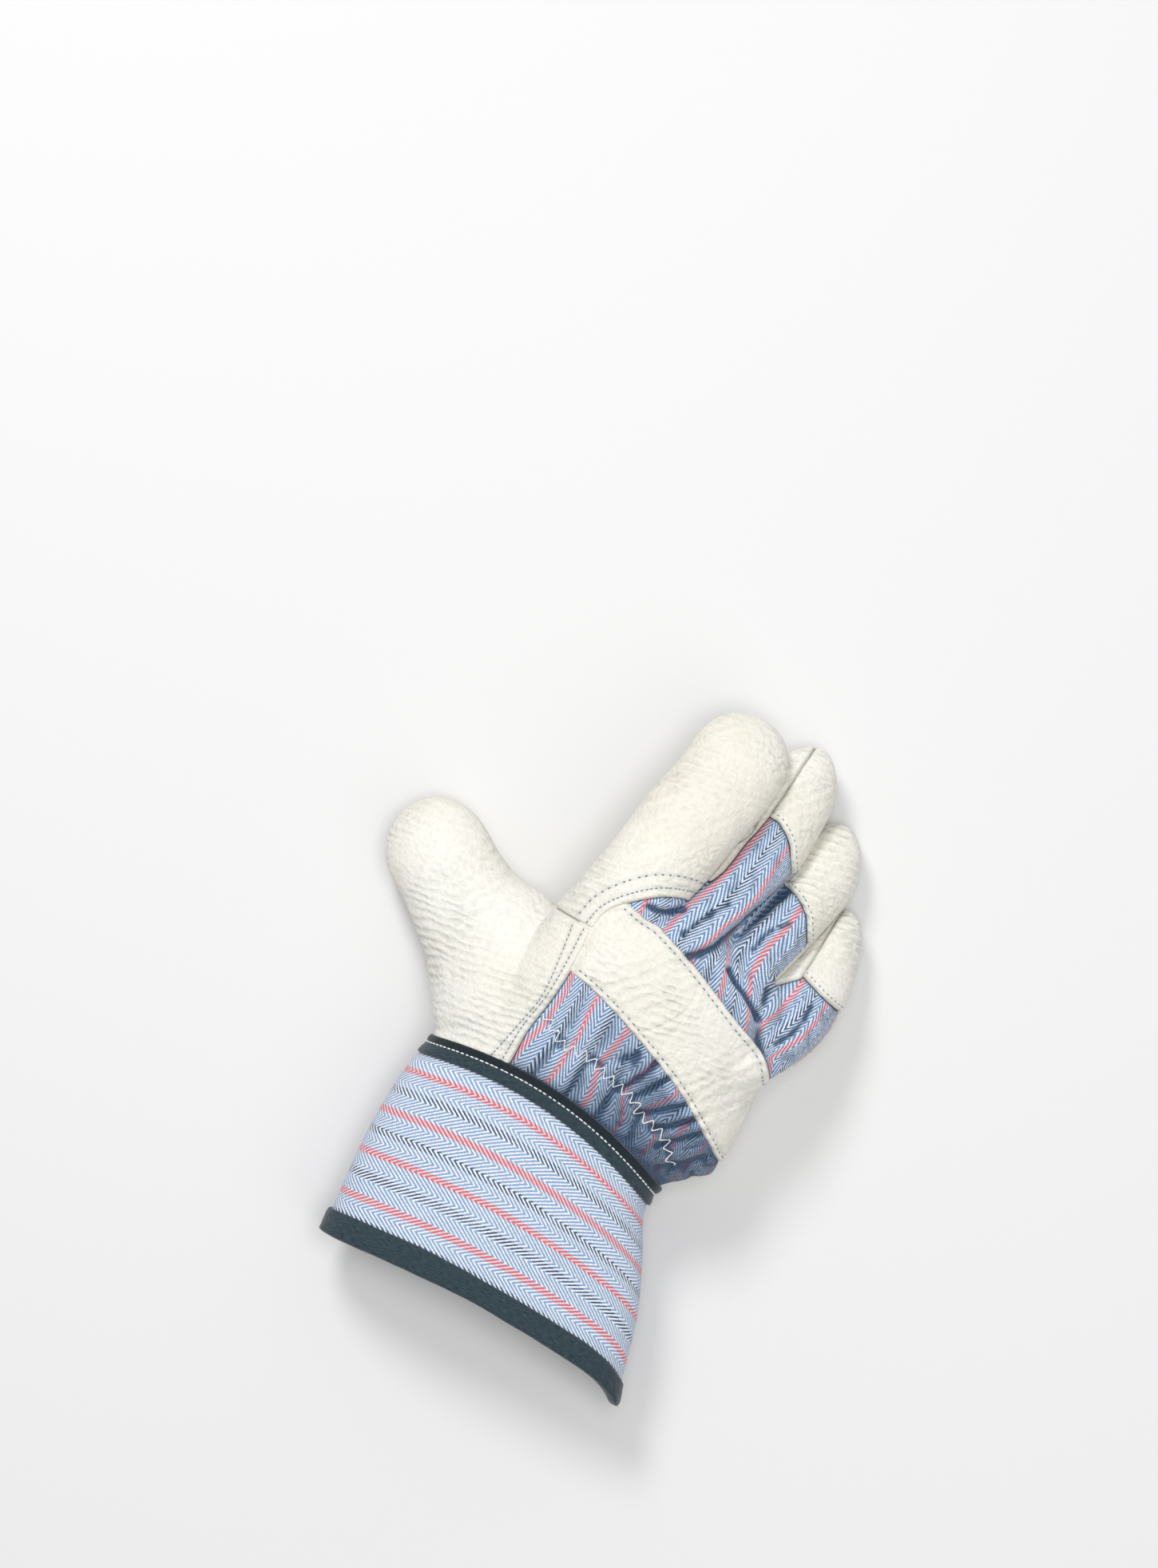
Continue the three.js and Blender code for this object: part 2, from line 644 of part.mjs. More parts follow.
// The tip caps and the cloth behind them meet at a slanting seam across each finger: its length from the
// tip, and how far it falls back towards the little finger for each millimetre across.
const caps = new Map([
  [middle, { length: middleCap, slant: 0.6 }],
  [ring, { length: ringCap, slant: 0.7 }],
  [little, { length: littleCap, slant: 0.15 }],
]);
function beyondSeam(tube, grow) {
  const { length, slant } = caps.get(tube);
  const s = tube.length - length;
  const edge = tube.root[1] + s - grow * Math.hypot(1, slant);
  const centre = tube.section(s).middle;
  const reach = 2 * handWidth;
  return prism(
    [
      { x: centre - reach, y: edge + slant * reach },
      { x: centre + reach, y: edge - slant * reach },
      { x: centre + reach, y: edge + 2 * reach },
      { x: centre - reach, y: edge + 2 * reach },
    ],
    0,
  );
}
const tipCap = (tube) => largest(fingerBack(tube, 0).intersect(beyondSeam(tube, 0)).subtract(hollow));
const clothBehind = (tube) => fingerBack(tube, clothOffset).subtract(beyondSeam(tube, gap));
const middleTip = largest(tipCap(middle).subtract(indexTubeClear));
const ringTip = largest(tipCap(ring).subtract(middleClear));
const littleTip = largest(tipCap(little).subtract(ringClear));

const backCloth = largest(
  wasm.Manifold.union([
    tubeSolid(hand, clothOffset).intersect(handNearAbove),
    fingerBack(index, clothOffset),
    clothBehind(middle),
    clothBehind(ring).subtract(middleClear.subtract(handGrown)),
    clothBehind(little).subtract(ringClear.subtract(handGrown)),
  ])
    .subtract(hollow)
    .subtract(thumbClear)
    .subtract(indexFrontClear)
    .subtract(indexBackClear),
);

// The strap lies over the cloth and ends against the leather of the thumb and the index finger.
const backSkin = (offset) => wasm.Manifold.union([hand, ...fingers].map((tube) => tubeSolid(tube, offset)));
const strapOffset = clothOffset + gap;
const knuckleStrap = largest(
  backSkin(strapOffset + leather)
    .subtract(backSkin(strapOffset))
    .intersect(handNearAbove)
    .intersect(prism(onHand(strapOutline), 0))
    .subtract(prism(thumbBackPlan, gap))
    .subtract(prism(indexPlan, gap))
    .subtract(littleClear.subtract(above(little, -gap / 2))),
);

// The cuff, its hem and the binding over the wrist seam
function wallLoop(stations, inner, outer) {
  return [...stations.map((s) => [s, outer]), ...[...stations].reverse().map((s) => [s, inner])];
}
const cuffStations = [gap, bindingEdge, ...cuffShares.map((share) => share * cuffLength), cuffLength - gap];
const cuffWall = ringSweep(cuffSkin, wallLoop(cuffStations, -cloth, 0), handSegments);
const hemStart = cuffLength - hemBand;
const hemOuter = gap + tape;
const hemInner = -cloth - gap - tape;
const cuffHem = ringSweep(
  (s, angle, offset) => {
    const p = cuffSkin(Math.min(s, cuffLength), angle, offset);
    p.y -= Math.max(0, s - cuffLength);
    return p;
  },
  [
    [hemStart, gap],
    [hemStart, hemOuter],
    [cuffLength + tape, hemOuter],
    [cuffLength + tape, hemInner],
    [hemStart, hemInner],
    [hemStart, -cloth - gap],
    [cuffLength, -cloth - gap],
    [cuffLength, gap],
  ],
  handSegments,
);

// The patch on the palm side, rounded at its free corner
const patchLeft = patchStart * wristWidth;
const patchRight = patchEnd * wristWidth;
const wristSlope = ((wristBow[2] - wristBow[0]) * handLength) / wristWidth;
const patchTop = wristBow[3] * handLength + wristSlope * patchLeft + bindingEdge + gap;
const patchBottom = patchTop - patchLength;
const patchFall = wristSlope * (patchRight - patchLeft);
const patchPlan = [
  { x: patchLeft, y: patchTop },
  { x: patchRight, y: patchTop + patchFall },
  { x: patchRight, y: patchBottom + patchFall },
  ...[0, 1 / 3, 2 / 3, 1].map((share) => {
    const turn = (Math.PI / 2) * share;
    return {
      x: patchLeft + patchCorner * (1 - Math.sin(turn)),
      y: patchBottom + patchCorner * (1 - Math.cos(turn)),
    };
  }),
];
const sideBelow = (lower) => {
  const reach = 3 * handWidth;
  const box = new THREE.BoxGeometry(reach, reach, reach);
  box.translate(0, 0, (wristDepth + restLift) / 2 - lower - reach / 2);
  return toSolid(box);
};
const patchOnCuff = cuffShares.slice(0, 2).map((share) => share * cuffLength);
const patchStations = [-stationsOf(hand)[2], -bindingEdge, 0, bindingEdge, ...patchOnCuff];
const patchLayer = ringSweep(cuffSkin, wallLoop(patchStations, gap, gap + leather), handSegments);
const thumbGrown = tubeSolid(thumb, gap);
const pulsePatch = largest(
  patchLayer.intersect(sideBelow(0)).intersect(prism(patchPlan, 0)).subtract(thumbGrown),
);
const bindingLoop = wallLoop([-bindingEdge, 0, bindingEdge], gap, gap + tape);
const bindingLayer = ringSweep(cuffSkin, bindingLoop, handSegments);
const wristBinding = largest(
  bindingLayer.subtract(prism(patchPlan, gap).intersect(sideBelow(-gap))).subtract(thumbGrown),
);

const leatherLook = { color: leatherColour, roughness: 0.62, metalness: 0 };
const clothLook = { color: clothColour, roughness: 0.9, metalness: 0 };
const tapeLook = { color: tapeColour, roughness: 0.75, metalness: 0 };
const pieces = [
  ["palm", palm, leatherLook],
  ["middle_front", middleFront, leatherLook],
  ["ring_front", ringFront, leatherLook],
  ["index_back", indexBack, leatherLook],
  ["thumb", thumbSolid, leatherLook],
  ["middle_tip", middleTip, leatherLook],
  ["ring_tip", ringTip, leatherLook],
  ["little_tip", littleTip, leatherLook],
  ["knuckle_strap", knuckleStrap, leatherLook],
  ["pulse_patch", pulsePatch, leatherLook],
  ["back_cloth", backCloth, clothLook],
  ["cuff", cuffWall, clothLook],
  ["wrist_binding", wristBinding, tapeLook],
  ["cuff_hem", cuffHem, tapeLook],
];

const glove = new THREE.Group();
pieces.forEach(([name, solid, look]) => {
  const mesh = solid.getMesh();
  const geometry = new THREE.BufferGeometry();
  geometry.setAttribute("position", new THREE.Float32BufferAttribute(mesh.vertProperties, 3));
  geometry.setIndex(new THREE.BufferAttribute(mesh.triVerts, 1));
  geometry.computeVertexNormals();
  const piece = new THREE.Mesh(geometry, new THREE.MeshStandardMaterial(look));
  piece.name = name;
  glove.add(piece);
});

// The glove is moved so that the origin is under the middle of its box.
const box = new THREE.Box3().setFromObject(glove);
const centre = box.getCenter(new THREE.Vector3());
glove.position.set(-centre.x, -centre.y, -box.min.z);

export default glove;
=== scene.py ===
# %% [markdown]
# # A leather work glove with a striped cloth back
#
# A rigger glove: leather on the palm, the thumb and the fingertips, striped cotton on the back, and a stiff
# cuff. Such a form could be sculpted by hand, or draped by a cloth simulation. Here it is worked out from
# short tables of sections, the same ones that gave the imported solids. So the looks agree with the solids
# in size and place, and each fold can be put where it belongs. Lengths are in millimetres in plan, with
# Y from the wrist to the fingers and Z up, and become metres when a mesh is made.

# %% Load the frame
import itertools

import bpy
import numpy as np
from mathutils import Matrix, Vector
from mathutils.bvhtree import BVHTree


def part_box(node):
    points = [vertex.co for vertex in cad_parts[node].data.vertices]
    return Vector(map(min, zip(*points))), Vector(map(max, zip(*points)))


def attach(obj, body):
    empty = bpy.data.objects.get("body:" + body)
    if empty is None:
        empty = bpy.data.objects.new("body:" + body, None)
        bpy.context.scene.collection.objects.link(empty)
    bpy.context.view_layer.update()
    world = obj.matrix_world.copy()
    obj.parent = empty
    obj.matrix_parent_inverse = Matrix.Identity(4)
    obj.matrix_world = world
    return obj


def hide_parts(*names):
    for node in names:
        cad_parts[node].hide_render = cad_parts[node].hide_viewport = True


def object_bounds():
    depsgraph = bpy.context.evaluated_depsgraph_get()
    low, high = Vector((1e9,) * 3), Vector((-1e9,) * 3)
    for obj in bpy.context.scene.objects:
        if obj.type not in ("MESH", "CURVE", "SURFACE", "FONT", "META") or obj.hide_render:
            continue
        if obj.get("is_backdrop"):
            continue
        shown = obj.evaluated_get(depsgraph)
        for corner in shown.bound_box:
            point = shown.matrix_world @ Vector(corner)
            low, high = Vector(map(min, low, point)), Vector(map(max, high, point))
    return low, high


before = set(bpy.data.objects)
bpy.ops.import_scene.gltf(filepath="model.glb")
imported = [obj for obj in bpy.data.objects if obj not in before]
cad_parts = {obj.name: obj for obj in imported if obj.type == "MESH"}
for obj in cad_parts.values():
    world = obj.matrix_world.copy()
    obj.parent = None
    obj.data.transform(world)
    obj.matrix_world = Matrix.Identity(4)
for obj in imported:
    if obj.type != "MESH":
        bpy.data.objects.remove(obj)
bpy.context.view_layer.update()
MM = 0.001

# %% [markdown]
# ## Sizes
#
# The sizes are those of the solids: a hand with a wrist and a flared cuff, and five fingers. They are
# written once, so that each surface takes them from here.

# %% Named sizes
HAND_LENGTH, HAND_WIDTH, HAND_DEPTH = 100.0, 100.0, 60.0
WRIST_WIDTH, WRIST_DEPTH = 97.0, 45.0
CUFF_LENGTH, HEM_WIDTH, HEM_DEPTH = 81.0, 124.0, 42.0
HEM_BAND, BINDING_BAND = 8.0, 8.5
LEATHER, CLOTH, TAPE, GAP = 1.8, 1.2, 1.8, 0.3
REST_LIFT = GAP + LEATHER
CLOTH_OFFSET = CLOTH - LEATHER
WRIST_BOW = (0.025, 0.08, -0.045, -0.01)
HEM_BOW = (0.085, 0.16, 0.125, 0.155)
HEM_DROOP, HEM_DROOP_POWER = 0.065, 10
print("glove without the fingers", HAND_LENGTH + CUFF_LENGTH, "mm long")

# %% [markdown]
# ## Sections
#
# A glove that lies loose is fullest over the knuckles and flat at the wrist, and its fingers curl down to
# the floor. Each table tells how one tube runs, a row for each section, as shares of the named sizes.
# A few rows with smooth values between them are easier to correct than hundreds of points.

# %% Sections of the hand and the cuff
# Hand sections: at, middle, half, low, high, lean, and the four values of the bow
HAND_ROWS = np.array([
    (0.00, 0.000, 0.485, 0.00, 0.78, 0.00, *WRIST_BOW),
    (0.08, 0.020, 0.503, 0.00, 0.82, 0.00, 0.02, 0.075, -0.045, 0.0),
    (0.12, 0.052, 0.525, 0.00, 0.85, 0.00, 0.02, 0.07, -0.045, 0.0),
    (0.18, 0.095, 0.535, 0.00, 0.88, 0.01, 0.01, 0.05, -0.05, 0.0),
    (0.32, 0.125, 0.520, 0.00, 0.93, 0.03, 0.01, 0.03, -0.02, 0.0),
    (0.47, 0.130, 0.500, 0.01, 0.97, 0.05, 0.01, 0.02, 0.0, 0.0),
    (0.61, 0.140, 0.485, 0.06, 0.98, 0.06, 0.01, 0.02, 0.0, 0.0),
    (0.75, 0.140, 0.465, 0.13, 0.95, 0.07, 0.0, 0.0, 0.0, 0.0),
    (0.92, 0.120, 0.420, 0.20, 0.86, 0.07, 0.0, 0.0, 0.0, 0.0),
])
# Cuff sections: at, right, left, high
CUFF_ROWS = np.array([
    (0.00, 0.00, 0.00, 0.0),
    (0.12, 0.08, 0.10, 0.2),
    (0.30, 0.34, 0.14, 0.3),
    (0.60, 0.70, 0.12, 0.6),
    (1.00, 1.00, 0.00, 1.0),
])
print("sections of the hand and the cuff", len(HAND_ROWS), len(CUFF_ROWS))

# %% Sections of the fingers
# Finger sections: at, middle, half, height, thick
INDEX_ROWS = np.array([
    (0.00, -0.110, 1.08, 0.690, 1.10),
    (0.22, -0.115, 1.07, 0.690, 1.10),
    (0.40, -0.094, 1.00, 0.675, 1.05),
    (0.59, -0.066, 1.01, 0.630, 1.00),
    (0.77, -0.029, 1.00, 0.560, 0.97),
    (1.00, -0.020, 0.95, 0.430, 0.90),
])
MIDDLE_ROWS = np.array([
    (0.00, 0.110, 1.08, 0.73, 1.12),
    (0.18, 0.120, 1.05, 0.72, 1.12),
    (0.34, 0.155, 1.05, 0.61, 1.06),
    (0.50, 0.198, 1.03, 0.46, 1.00),
    (0.64, 0.220, 1.01, 0.36, 1.00),
    (0.80, 0.225, 0.97, 0.29, 0.96),
    (1.00, 0.222, 0.92, 0.22, 0.85),
])
RING_ROWS = np.array([
    (0.00, 0.310, 1.10, 0.680, 1.15),
    (0.21, 0.325, 1.10, 0.670, 1.15),
    (0.35, 0.360, 1.00, 0.560, 1.10),
    (0.50, 0.407, 0.94, 0.410, 1.04),
    (0.66, 0.442, 0.96, 0.275, 1.02),
    (0.79, 0.458, 0.98, 0.180, 1.00),
    (1.00, 0.442, 0.94, 0.140, 0.85),
])
LITTLE_ROWS = np.array([
    (0.00, 0.460, 0.90, 0.500, 1.00),
    (0.17, 0.494, 1.10, 0.585, 1.12),
    (0.31, 0.557, 1.16, 0.500, 1.14),
    (0.47, 0.598, 1.19, 0.400, 1.10),
    (0.65, 0.620, 1.00, 0.290, 1.05),
    (0.79, 0.622, 0.84, 0.190, 0.98),
    (1.00, 0.607, 0.80, 0.150, 0.85),
])
THUMB_ROWS = np.array([
    (0.00, 0.115, 1.370, 0.420, 1.28),
    (0.18, 0.108, 1.580, 0.410, 1.30),
    (0.32, 0.132, 1.460, 0.375, 1.26),
    (0.43, 0.137, 1.300, 0.345, 1.18),
    (0.58, 0.111, 1.065, 0.305, 1.08),
    (0.77, 0.104, 1.000, 0.260, 1.00),
    (1.00, 0.105, 0.960, 0.220, 0.90),
])
print("sections of the thumb and the index finger", len(THUMB_ROWS), len(INDEX_ROWS))

# %% [markdown]
# ## Seams in plan
#
# Where the leather pieces end, looking straight down on the glove. The thumb with its base is one piece,
# sewn over the cloth, and so is the back of the index finger. A seam could be painted on, but a sewn edge
# is a step that catches light, so each piece is cut along its seam instead.

# %% Seam lines
THUMB_BACK = [(-19.8, -30), (-19.8, 10), (-20.1, 25), (-18.3, 39.3), (-17.6, 51.4), (-18.1, 69)]
THUMB_FRONT = [(-39, -30), (-38.5, 10), (-36, 30), (-33.5, 50), (-32, 69)]
CROTCH = (-34.7, 69)
BEYOND_THUMB = [(-80, 200), (-200, 200), (-200, -30)]
INDEX_BASE = [(-18.1, 69), (-16.7, 77), (-10.9, 84.4), (-1.7, 91.8), (7.9, 95.5), (22, 97)]
BEYOND_INDEX = [(22, 200), (-60, 200), CROTCH]
STRAP_TOP = [(-24, 72), (-18, 80), (-12.5, 83.4), (-9, 83), (-4, 82), (4.5, 81), (21, 75.5), (43, 66.4),
             (58.4, 60.2), (66, 52), (75, 46)]
STRAP_BOTTOM = [(75, 14), (63, 18.5), (56, 23), (38.5, 33.6), (16.5, 42.7), (-4, 49.3), (-17, 51.9),
                (-24, 54)]


def spline(points, step=1.0):
    """Points about a step apart on a smooth curve through the given ones."""
    points = np.asarray(points, float)
    padded = np.vstack([2 * points[0] - points[1], points, 2 * points[-1] - points[-2]])
    out = []
    for a, b, c, d in zip(padded, padded[1:], padded[2:], padded[3:]):
        count = max(2, int(np.ceil(np.linalg.norm(c - b) / step)))
        t = np.arange(count)[:, None] / count
        out.append(0.5 * (2 * b + (c - a) * t + (2 * a - 5 * b + 4 * c - d) * t**2
                          + (3 * b - a - 3 * c + d) * t**3))
    return np.vstack([*out, points[-1:]])


def line_distance(line, spots):
    """Distance of plan points from a polyline."""
    best = np.full(len(spots), 1e9)
    for a, b in zip(line, line[1:]):
        ab = b - a
        t = np.clip((spots - a) @ ab / max(ab @ ab, 1e-12), 0, 1)
        best = np.minimum(best, np.linalg.norm(spots - a - t[:, None] * ab, axis=1))
    return best


def outline_depth(outline, spots):
    """Signed distance of plan points from a closed outline, above zero inside."""
    outline = np.asarray(outline, float)
    inside = np.zeros(len(spots), bool)
    x, y = spots.T
    for (x0, y0), (x1, y1) in zip(outline, np.roll(outline, -1, axis=0)):
        if y0 != y1:
            inside ^= ((y0 > y) != (y1 > y)) & (x < (x1 - x0) * (y - y0) / (y1 - y0) + x0)
    closed = np.vstack([outline, outline[:1]])
    return np.where(inside, 1, -1) * line_distance(closed, spots)


# %% Outlines of the pieces in plan
thumb_back_outline = np.vstack([spline(THUMB_BACK), [CROTCH], BEYOND_THUMB])
thumb_front_outline = np.vstack([spline(THUMB_FRONT), BEYOND_THUMB])
index_outline = np.vstack([spline(INDEX_BASE), BEYOND_INDEX])
strap_outline = np.vstack([spline(STRAP_TOP), spline(STRAP_BOTTOM)])
print("points on the outlines", [len(outline) for outline in (
    thumb_back_outline, thumb_front_outline, index_outline, strap_outline)])

# %% [markdown]
# ## Tubes
#
# The hand and each finger are tubes, which a filled glove comes close to. A subdivision cage would do too,
# but a formula can also be asked the other way round: where on the tube a point lies, and how far it is
# from the skin. Seams, folds and stripes need that. The sections are superellipses, a little squarer
# than ellipses.

# %% Helpers for the sections
def between(rows, at, column):
    """A smooth value between the rows of a table, a cubic with slopes from the neighbouring rows."""
    ats, values = rows[:, 0], rows[:, column]
    at = np.clip(at, ats[0], ats[-1])
    last = len(ats) - 1
    k = np.clip(np.searchsorted(ats[1:-1], at), 0, last - 1)
    before, after = np.maximum(np.arange(last + 1) - 1, 0), np.minimum(np.arange(last + 1) + 1, last)
    slopes = (values[after] - values[before]) / (ats[after] - ats[before])
    span = ats[k + 1] - ats[k]
    t = (at - ats[k]) / span
    rise = 3 * t**2 - 2 * t**3
    ends = (t**3 - 2 * t**2 + t) * slopes[k] + (t**3 - t**2) * slopes[k + 1]
    return (1 - rise) * values[k] + rise * values[k + 1] + span * ends


def smooth(value, low, high):
    """A smooth step from 0 at low to 1 at high."""
    t = np.clip((value - low) / (high - low), 0, 1)
    return t * t * (3 - 2 * t)


def bow_at(bow, x, underneath):
    left, back, right, front = bow
    centre = np.where(underneath, front, back)
    return centre + (right - left) / 2 * x + ((left + right) / 2 - centre) * x**2


def heading(degrees):
    turn = np.radians(degrees)
    return np.array([-np.sin(turn), np.cos(turn)]), np.array([np.cos(turn), np.sin(turn)])


def superellipse(angle, squareness):
    """The point of a unit section at an angle: across and up."""
    x, z = np.cos(angle), np.sin(angle)
    return np.sign(x) * np.abs(x) ** (2 / squareness), np.sign(z) * np.abs(z) ** (2 / squareness)


def grid_faces(rows, columns, closed=False):
    """The four-sided faces of a grid of points, whose columns may close round."""
    grid = np.arange(rows * columns).reshape(rows, columns)
    if closed:
        grid = np.hstack([grid, grid[:, :1]])
    return np.stack([grid[:-1, :-1], grid[1:, :-1], grid[1:, 1:], grid[:-1, 1:]], -1).reshape(-1, 4)


# %% The tube
WRIST_SHARE = 0.32
HAND_SQUARENESS, FINGER_SQUARENESS = 2.4, 2.15
BURIED = -12.0


class Tube:
    """A hand or a finger: a table of sections, with a rounded end."""

    def __init__(self, name, rows, length, size, root, tip, power, degrees=0.0):
        self.name, self.rows, self.length, self.size = name, rows, length, size
        self.along, self.across = heading(degrees)
        self.root = root * HAND_LENGTH * self.along
        self.tip, self.power = tip, power
        self.is_hand = name == "hand"
        self.squareness = HAND_SQUARENESS if self.is_hand else FINGER_SQUARENESS

    def section(self, s):
        """Middle, half width, centre height, half depth, lean and bow at a length."""
        at = s / self.length
        if not self.is_hand:
            width, depth = self.size
            zero = np.zeros_like(at)
            return (between(self.rows, at, 1) * HAND_WIDTH, between(self.rows, at, 2) * width / 2,
                    between(self.rows, at, 3) * HAND_DEPTH, between(self.rows, at, 4) * depth / 2,
                    zero, [zero] * 4)
        at = s / HAND_LENGTH
        wrist = np.clip(1 - at / WRIST_SHARE, 0, 1)
        wrist_width = WRIST_WIDTH / (2 * HAND_ROWS[0, 2])
        wrist_depth = (WRIST_DEPTH + REST_LIFT) / HAND_ROWS[0, 4]
        half = between(self.rows, at, 2) * (HAND_WIDTH + wrist * (wrist_width - HAND_WIDTH))
        high = between(self.rows, at, 4) * (HAND_DEPTH + wrist * (wrist_depth - HAND_DEPTH))
        low = between(self.rows, at, 3) * HAND_DEPTH
        bow = [between(self.rows, at, k) * HAND_LENGTH for k in range(6, 10)]
        return (between(self.rows, at, 1) * HAND_WIDTH, half, (high + low) / 2, (high - low) / 2,
                between(self.rows, at, 5) * HAND_DEPTH, bow)

    def shrink(self, s, offset):
        """How far the section has closed at the rounded end, from 1 to 0."""
        past = np.maximum(0, (s - self.length + self.tip) / (self.tip + offset))
        return np.maximum(0, 1 - past**self.power) ** (1 / self.power)

    def point(self, s, angle, offset):
        """Points of the skin, moved out by an offset."""
        s, angle = np.broadcast_arrays(np.asarray(s, float), np.asarray(angle, float))
        inner = np.maximum(s, 0)
        middle, half, height, thick, lean, bow = self.section(inner)
        shrink = self.shrink(s, offset)
        x, z = superellipse(angle, self.squareness)
        across = middle + (half + offset) * shrink * x
        along = s + bow_at(bow, x, z < 0)
        up = height + (thick + offset) * shrink * z - lean * x
        up = np.maximum(up, (REST_LIFT if self.is_hand else 0) - offset)
        flat = self.root + along[..., None] * self.along + across[..., None] * self.across
        return np.concatenate([flat, up[..., None]], axis=-1)

    def local(self, spots, offset):
        """For points near the skin: length, place across and up as shares, and distance out of the skin."""
        rel = spots[:, :2] - self.root
        along, across = rel @ self.along, rel @ self.across
        s = along
        for _ in range(3):
            middle, half, height, thick, lean, bow = self.section(np.maximum(s, 0))
            x = np.clip((across - middle) / half, -1, 1)
            up = spots[:, 2] - height + lean * x
            s = along - bow_at(bow, x, up < 0)
        shrink = np.maximum(self.shrink(s, offset), 0.05)
        shrink = np.where(s > self.length + offset, 0.05, shrink)
        x = (across - middle) / ((half + offset) * shrink)
        z = up / ((thick + offset) * shrink)
        radius = (np.abs(x) ** self.squareness + np.abs(z) ** self.squareness) ** (1 / self.squareness)
        buried = BURIED if self.is_hand else 0.0
        out = np.maximum((radius - 1) * np.minimum(half, thick) * shrink, buried - s)
        return {"s": s, "x": x, "up": up, "across": across - middle, "out": out, "thick": thick}

    def mesh(self, offset, count, step, start=0.0):
        """A closed mesh of the tube."""
        body = self.length - self.tip
        lengths = np.linspace(start, body, int((body - start) / step))
        tip = body + (self.tip + offset) * np.sin(np.linspace(0, np.pi / 2, 26)[1:-1])
        angles = 2 * np.pi * (np.arange(count) + 0.5) / count
        rings = self.point(np.concatenate([lengths, tip])[:, None], angles[None, :], offset)
        ends = np.array([rings[0].mean(0), self.point(self.length + offset, [0, np.pi], offset).mean(0)])
        rows = len(rings)
        quads = grid_faces(rows, count, closed=True)[:, ::-1]
        first, last = np.arange(count), np.arange(count) + (rows - 1) * count
        fan = [[rows * count, first[(j + 1) % count], first[j]] for j in range(count)]
        fan += [[rows * count + 1, last[j], last[(j + 1) % count]] for j in range(count)]
        return np.vstack([rings.reshape(-1, 3), ends]), quads.tolist() + fan


# %% The hand and the five fingers
HAND = Tube("hand", HAND_ROWS, 0.92 * HAND_LENGTH, None, 0.0, 18.0, 2.2)
THUMB = Tube("thumb", THUMB_ROWS, 94.0, (38.0, 33.0), 0.285, 20.0, 2.1, degrees=57.0)
INDEX = Tube("index", INDEX_ROWS, 109.0, (36.0, 28.0), 0.563, 18.0, 2.2)
MIDDLE = Tube("middle", MIDDLE_ROWS, 109.0, (28.5, 25.0), 0.583, 21.0, 1.85)
RING = Tube("ring", RING_ROWS, 95.0, (25.5, 23.5), 0.522, 22.0, 2.05)
LITTLE = Tube("little", LITTLE_ROWS, 83.0, (26.5, 25.0), 0.382, 20.0, 1.95)
TUBES = [HAND, THUMB, INDEX, MIDDLE, RING, LITTLE]
print("tubes", [(tube.name, tube.length) for tube in TUBES])


# %% The cuff's faces, and where the plan lies in the part
def cuff_point(s, angle, offset):
    """Points of the cuff's outer face. Before the wrist seam it runs on over the hand."""
    s, angle = np.broadcast_arrays(np.asarray(s, float), np.asarray(angle, float))
    over = np.minimum(s, CUFF_LENGTH)
    at = np.clip(over / CUFF_LENGTH, 0, 1)
    x, z = superellipse(angle, HAND_SQUARENESS)
    middle, half, height, thick, _, _ = HAND.section(np.zeros_like(s))
    spread = HEM_WIDTH - 2 * half
    left = middle - half - between(CUFF_ROWS, at, 2) * spread
    right = middle + half + between(CUFF_ROWS, at, 1) * spread
    top = height + thick + between(CUFF_ROWS, at, 3) * (HEM_DEPTH + REST_LIFT - height - thick)
    bottom = height - thick
    wrist = bow_at(WRIST_BOW, x, z < 0) * HAND_LENGTH
    hem = (bow_at(HEM_BOW, x, z < 0) - HEM_DROOP * np.maximum(0, x) ** HEM_DROOP_POWER) * CUFF_LENGTH
    up = (top + bottom) / 2 + ((top - bottom) / 2 + offset) * z
    flat_x = (left + right) / 2 + ((right - left) / 2 + offset) * x
    flat_y = wrist + at * (hem - wrist) - s
    cuff = np.stack([flat_x, flat_y, np.maximum(up, REST_LIFT - offset)], -1)
    return np.where((s < 0)[..., None], HAND.point(-s, angle, offset), cuff)


hem_ring = cuff_point(CUFF_LENGTH + TAPE, np.linspace(0, 2 * np.pi, 721), GAP + TAPE)
low, high = (np.array(corner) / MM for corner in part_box("cuff_hem"))
SHIFT = np.array([(low[0] + high[0]) / 2 - (hem_ring[:, 0].min() + hem_ring[:, 0].max()) / 2,
                  low[1] - hem_ring[:, 1].min(), 0.0])
print("plan to part", SHIFT.round(2))

# %% [markdown]
# ## Noise and meshes
#
# Cloth and hide are never even, so folds and wrinkles need a smooth noise. Blender's displace modifier has
# one, but this one can be mixed with the seams' distances before it moves a point. The other helpers
# smooth a mesh, find its normals, and cut it where a field of values crosses zero. That cut gives each
# sewn piece a clean edge, which the faces of a grid wouldn't.

# %% Smooth noise
rng = np.random.default_rng(7)
GRADIENTS = rng.normal(size=(256, 3))
GRADIENTS /= np.linalg.norm(GRADIENTS, axis=1)[:, None]


def noise(points, seed=0):
    """Smooth gradient noise, about -0.7 to 0.7, that changes over one unit of the points."""
    points = np.asarray(points, float)
    cell = np.floor(points).astype(np.int64)
    part = points - cell
    fade = part**3 * (part * (part * 6 - 15) + 10)
    total = np.zeros(len(points))
    for corner in itertools.product((0, 1), repeat=3):
        place = cell + corner
        key = place[:, 0] * 73856093 ^ place[:, 1] * 19349663 ^ place[:, 2] * 83492791 ^ (seed * 2654435761)
        key = ((key ^ (key >> 15)) * 2246822519) & 0xFFFFFFFF
        key = ((key ^ (key >> 13)) >> 7) & 255
        weight = np.prod(np.where(corner, fade, 1 - fade), axis=1)
        total += weight * ((part - corner) * GRADIENTS[key]).sum(1)
    return total


print("noise from", noise(np.linspace(0, 99, 500)[:, None] * [1.0, 0.7, 0.3]).min().round(2))


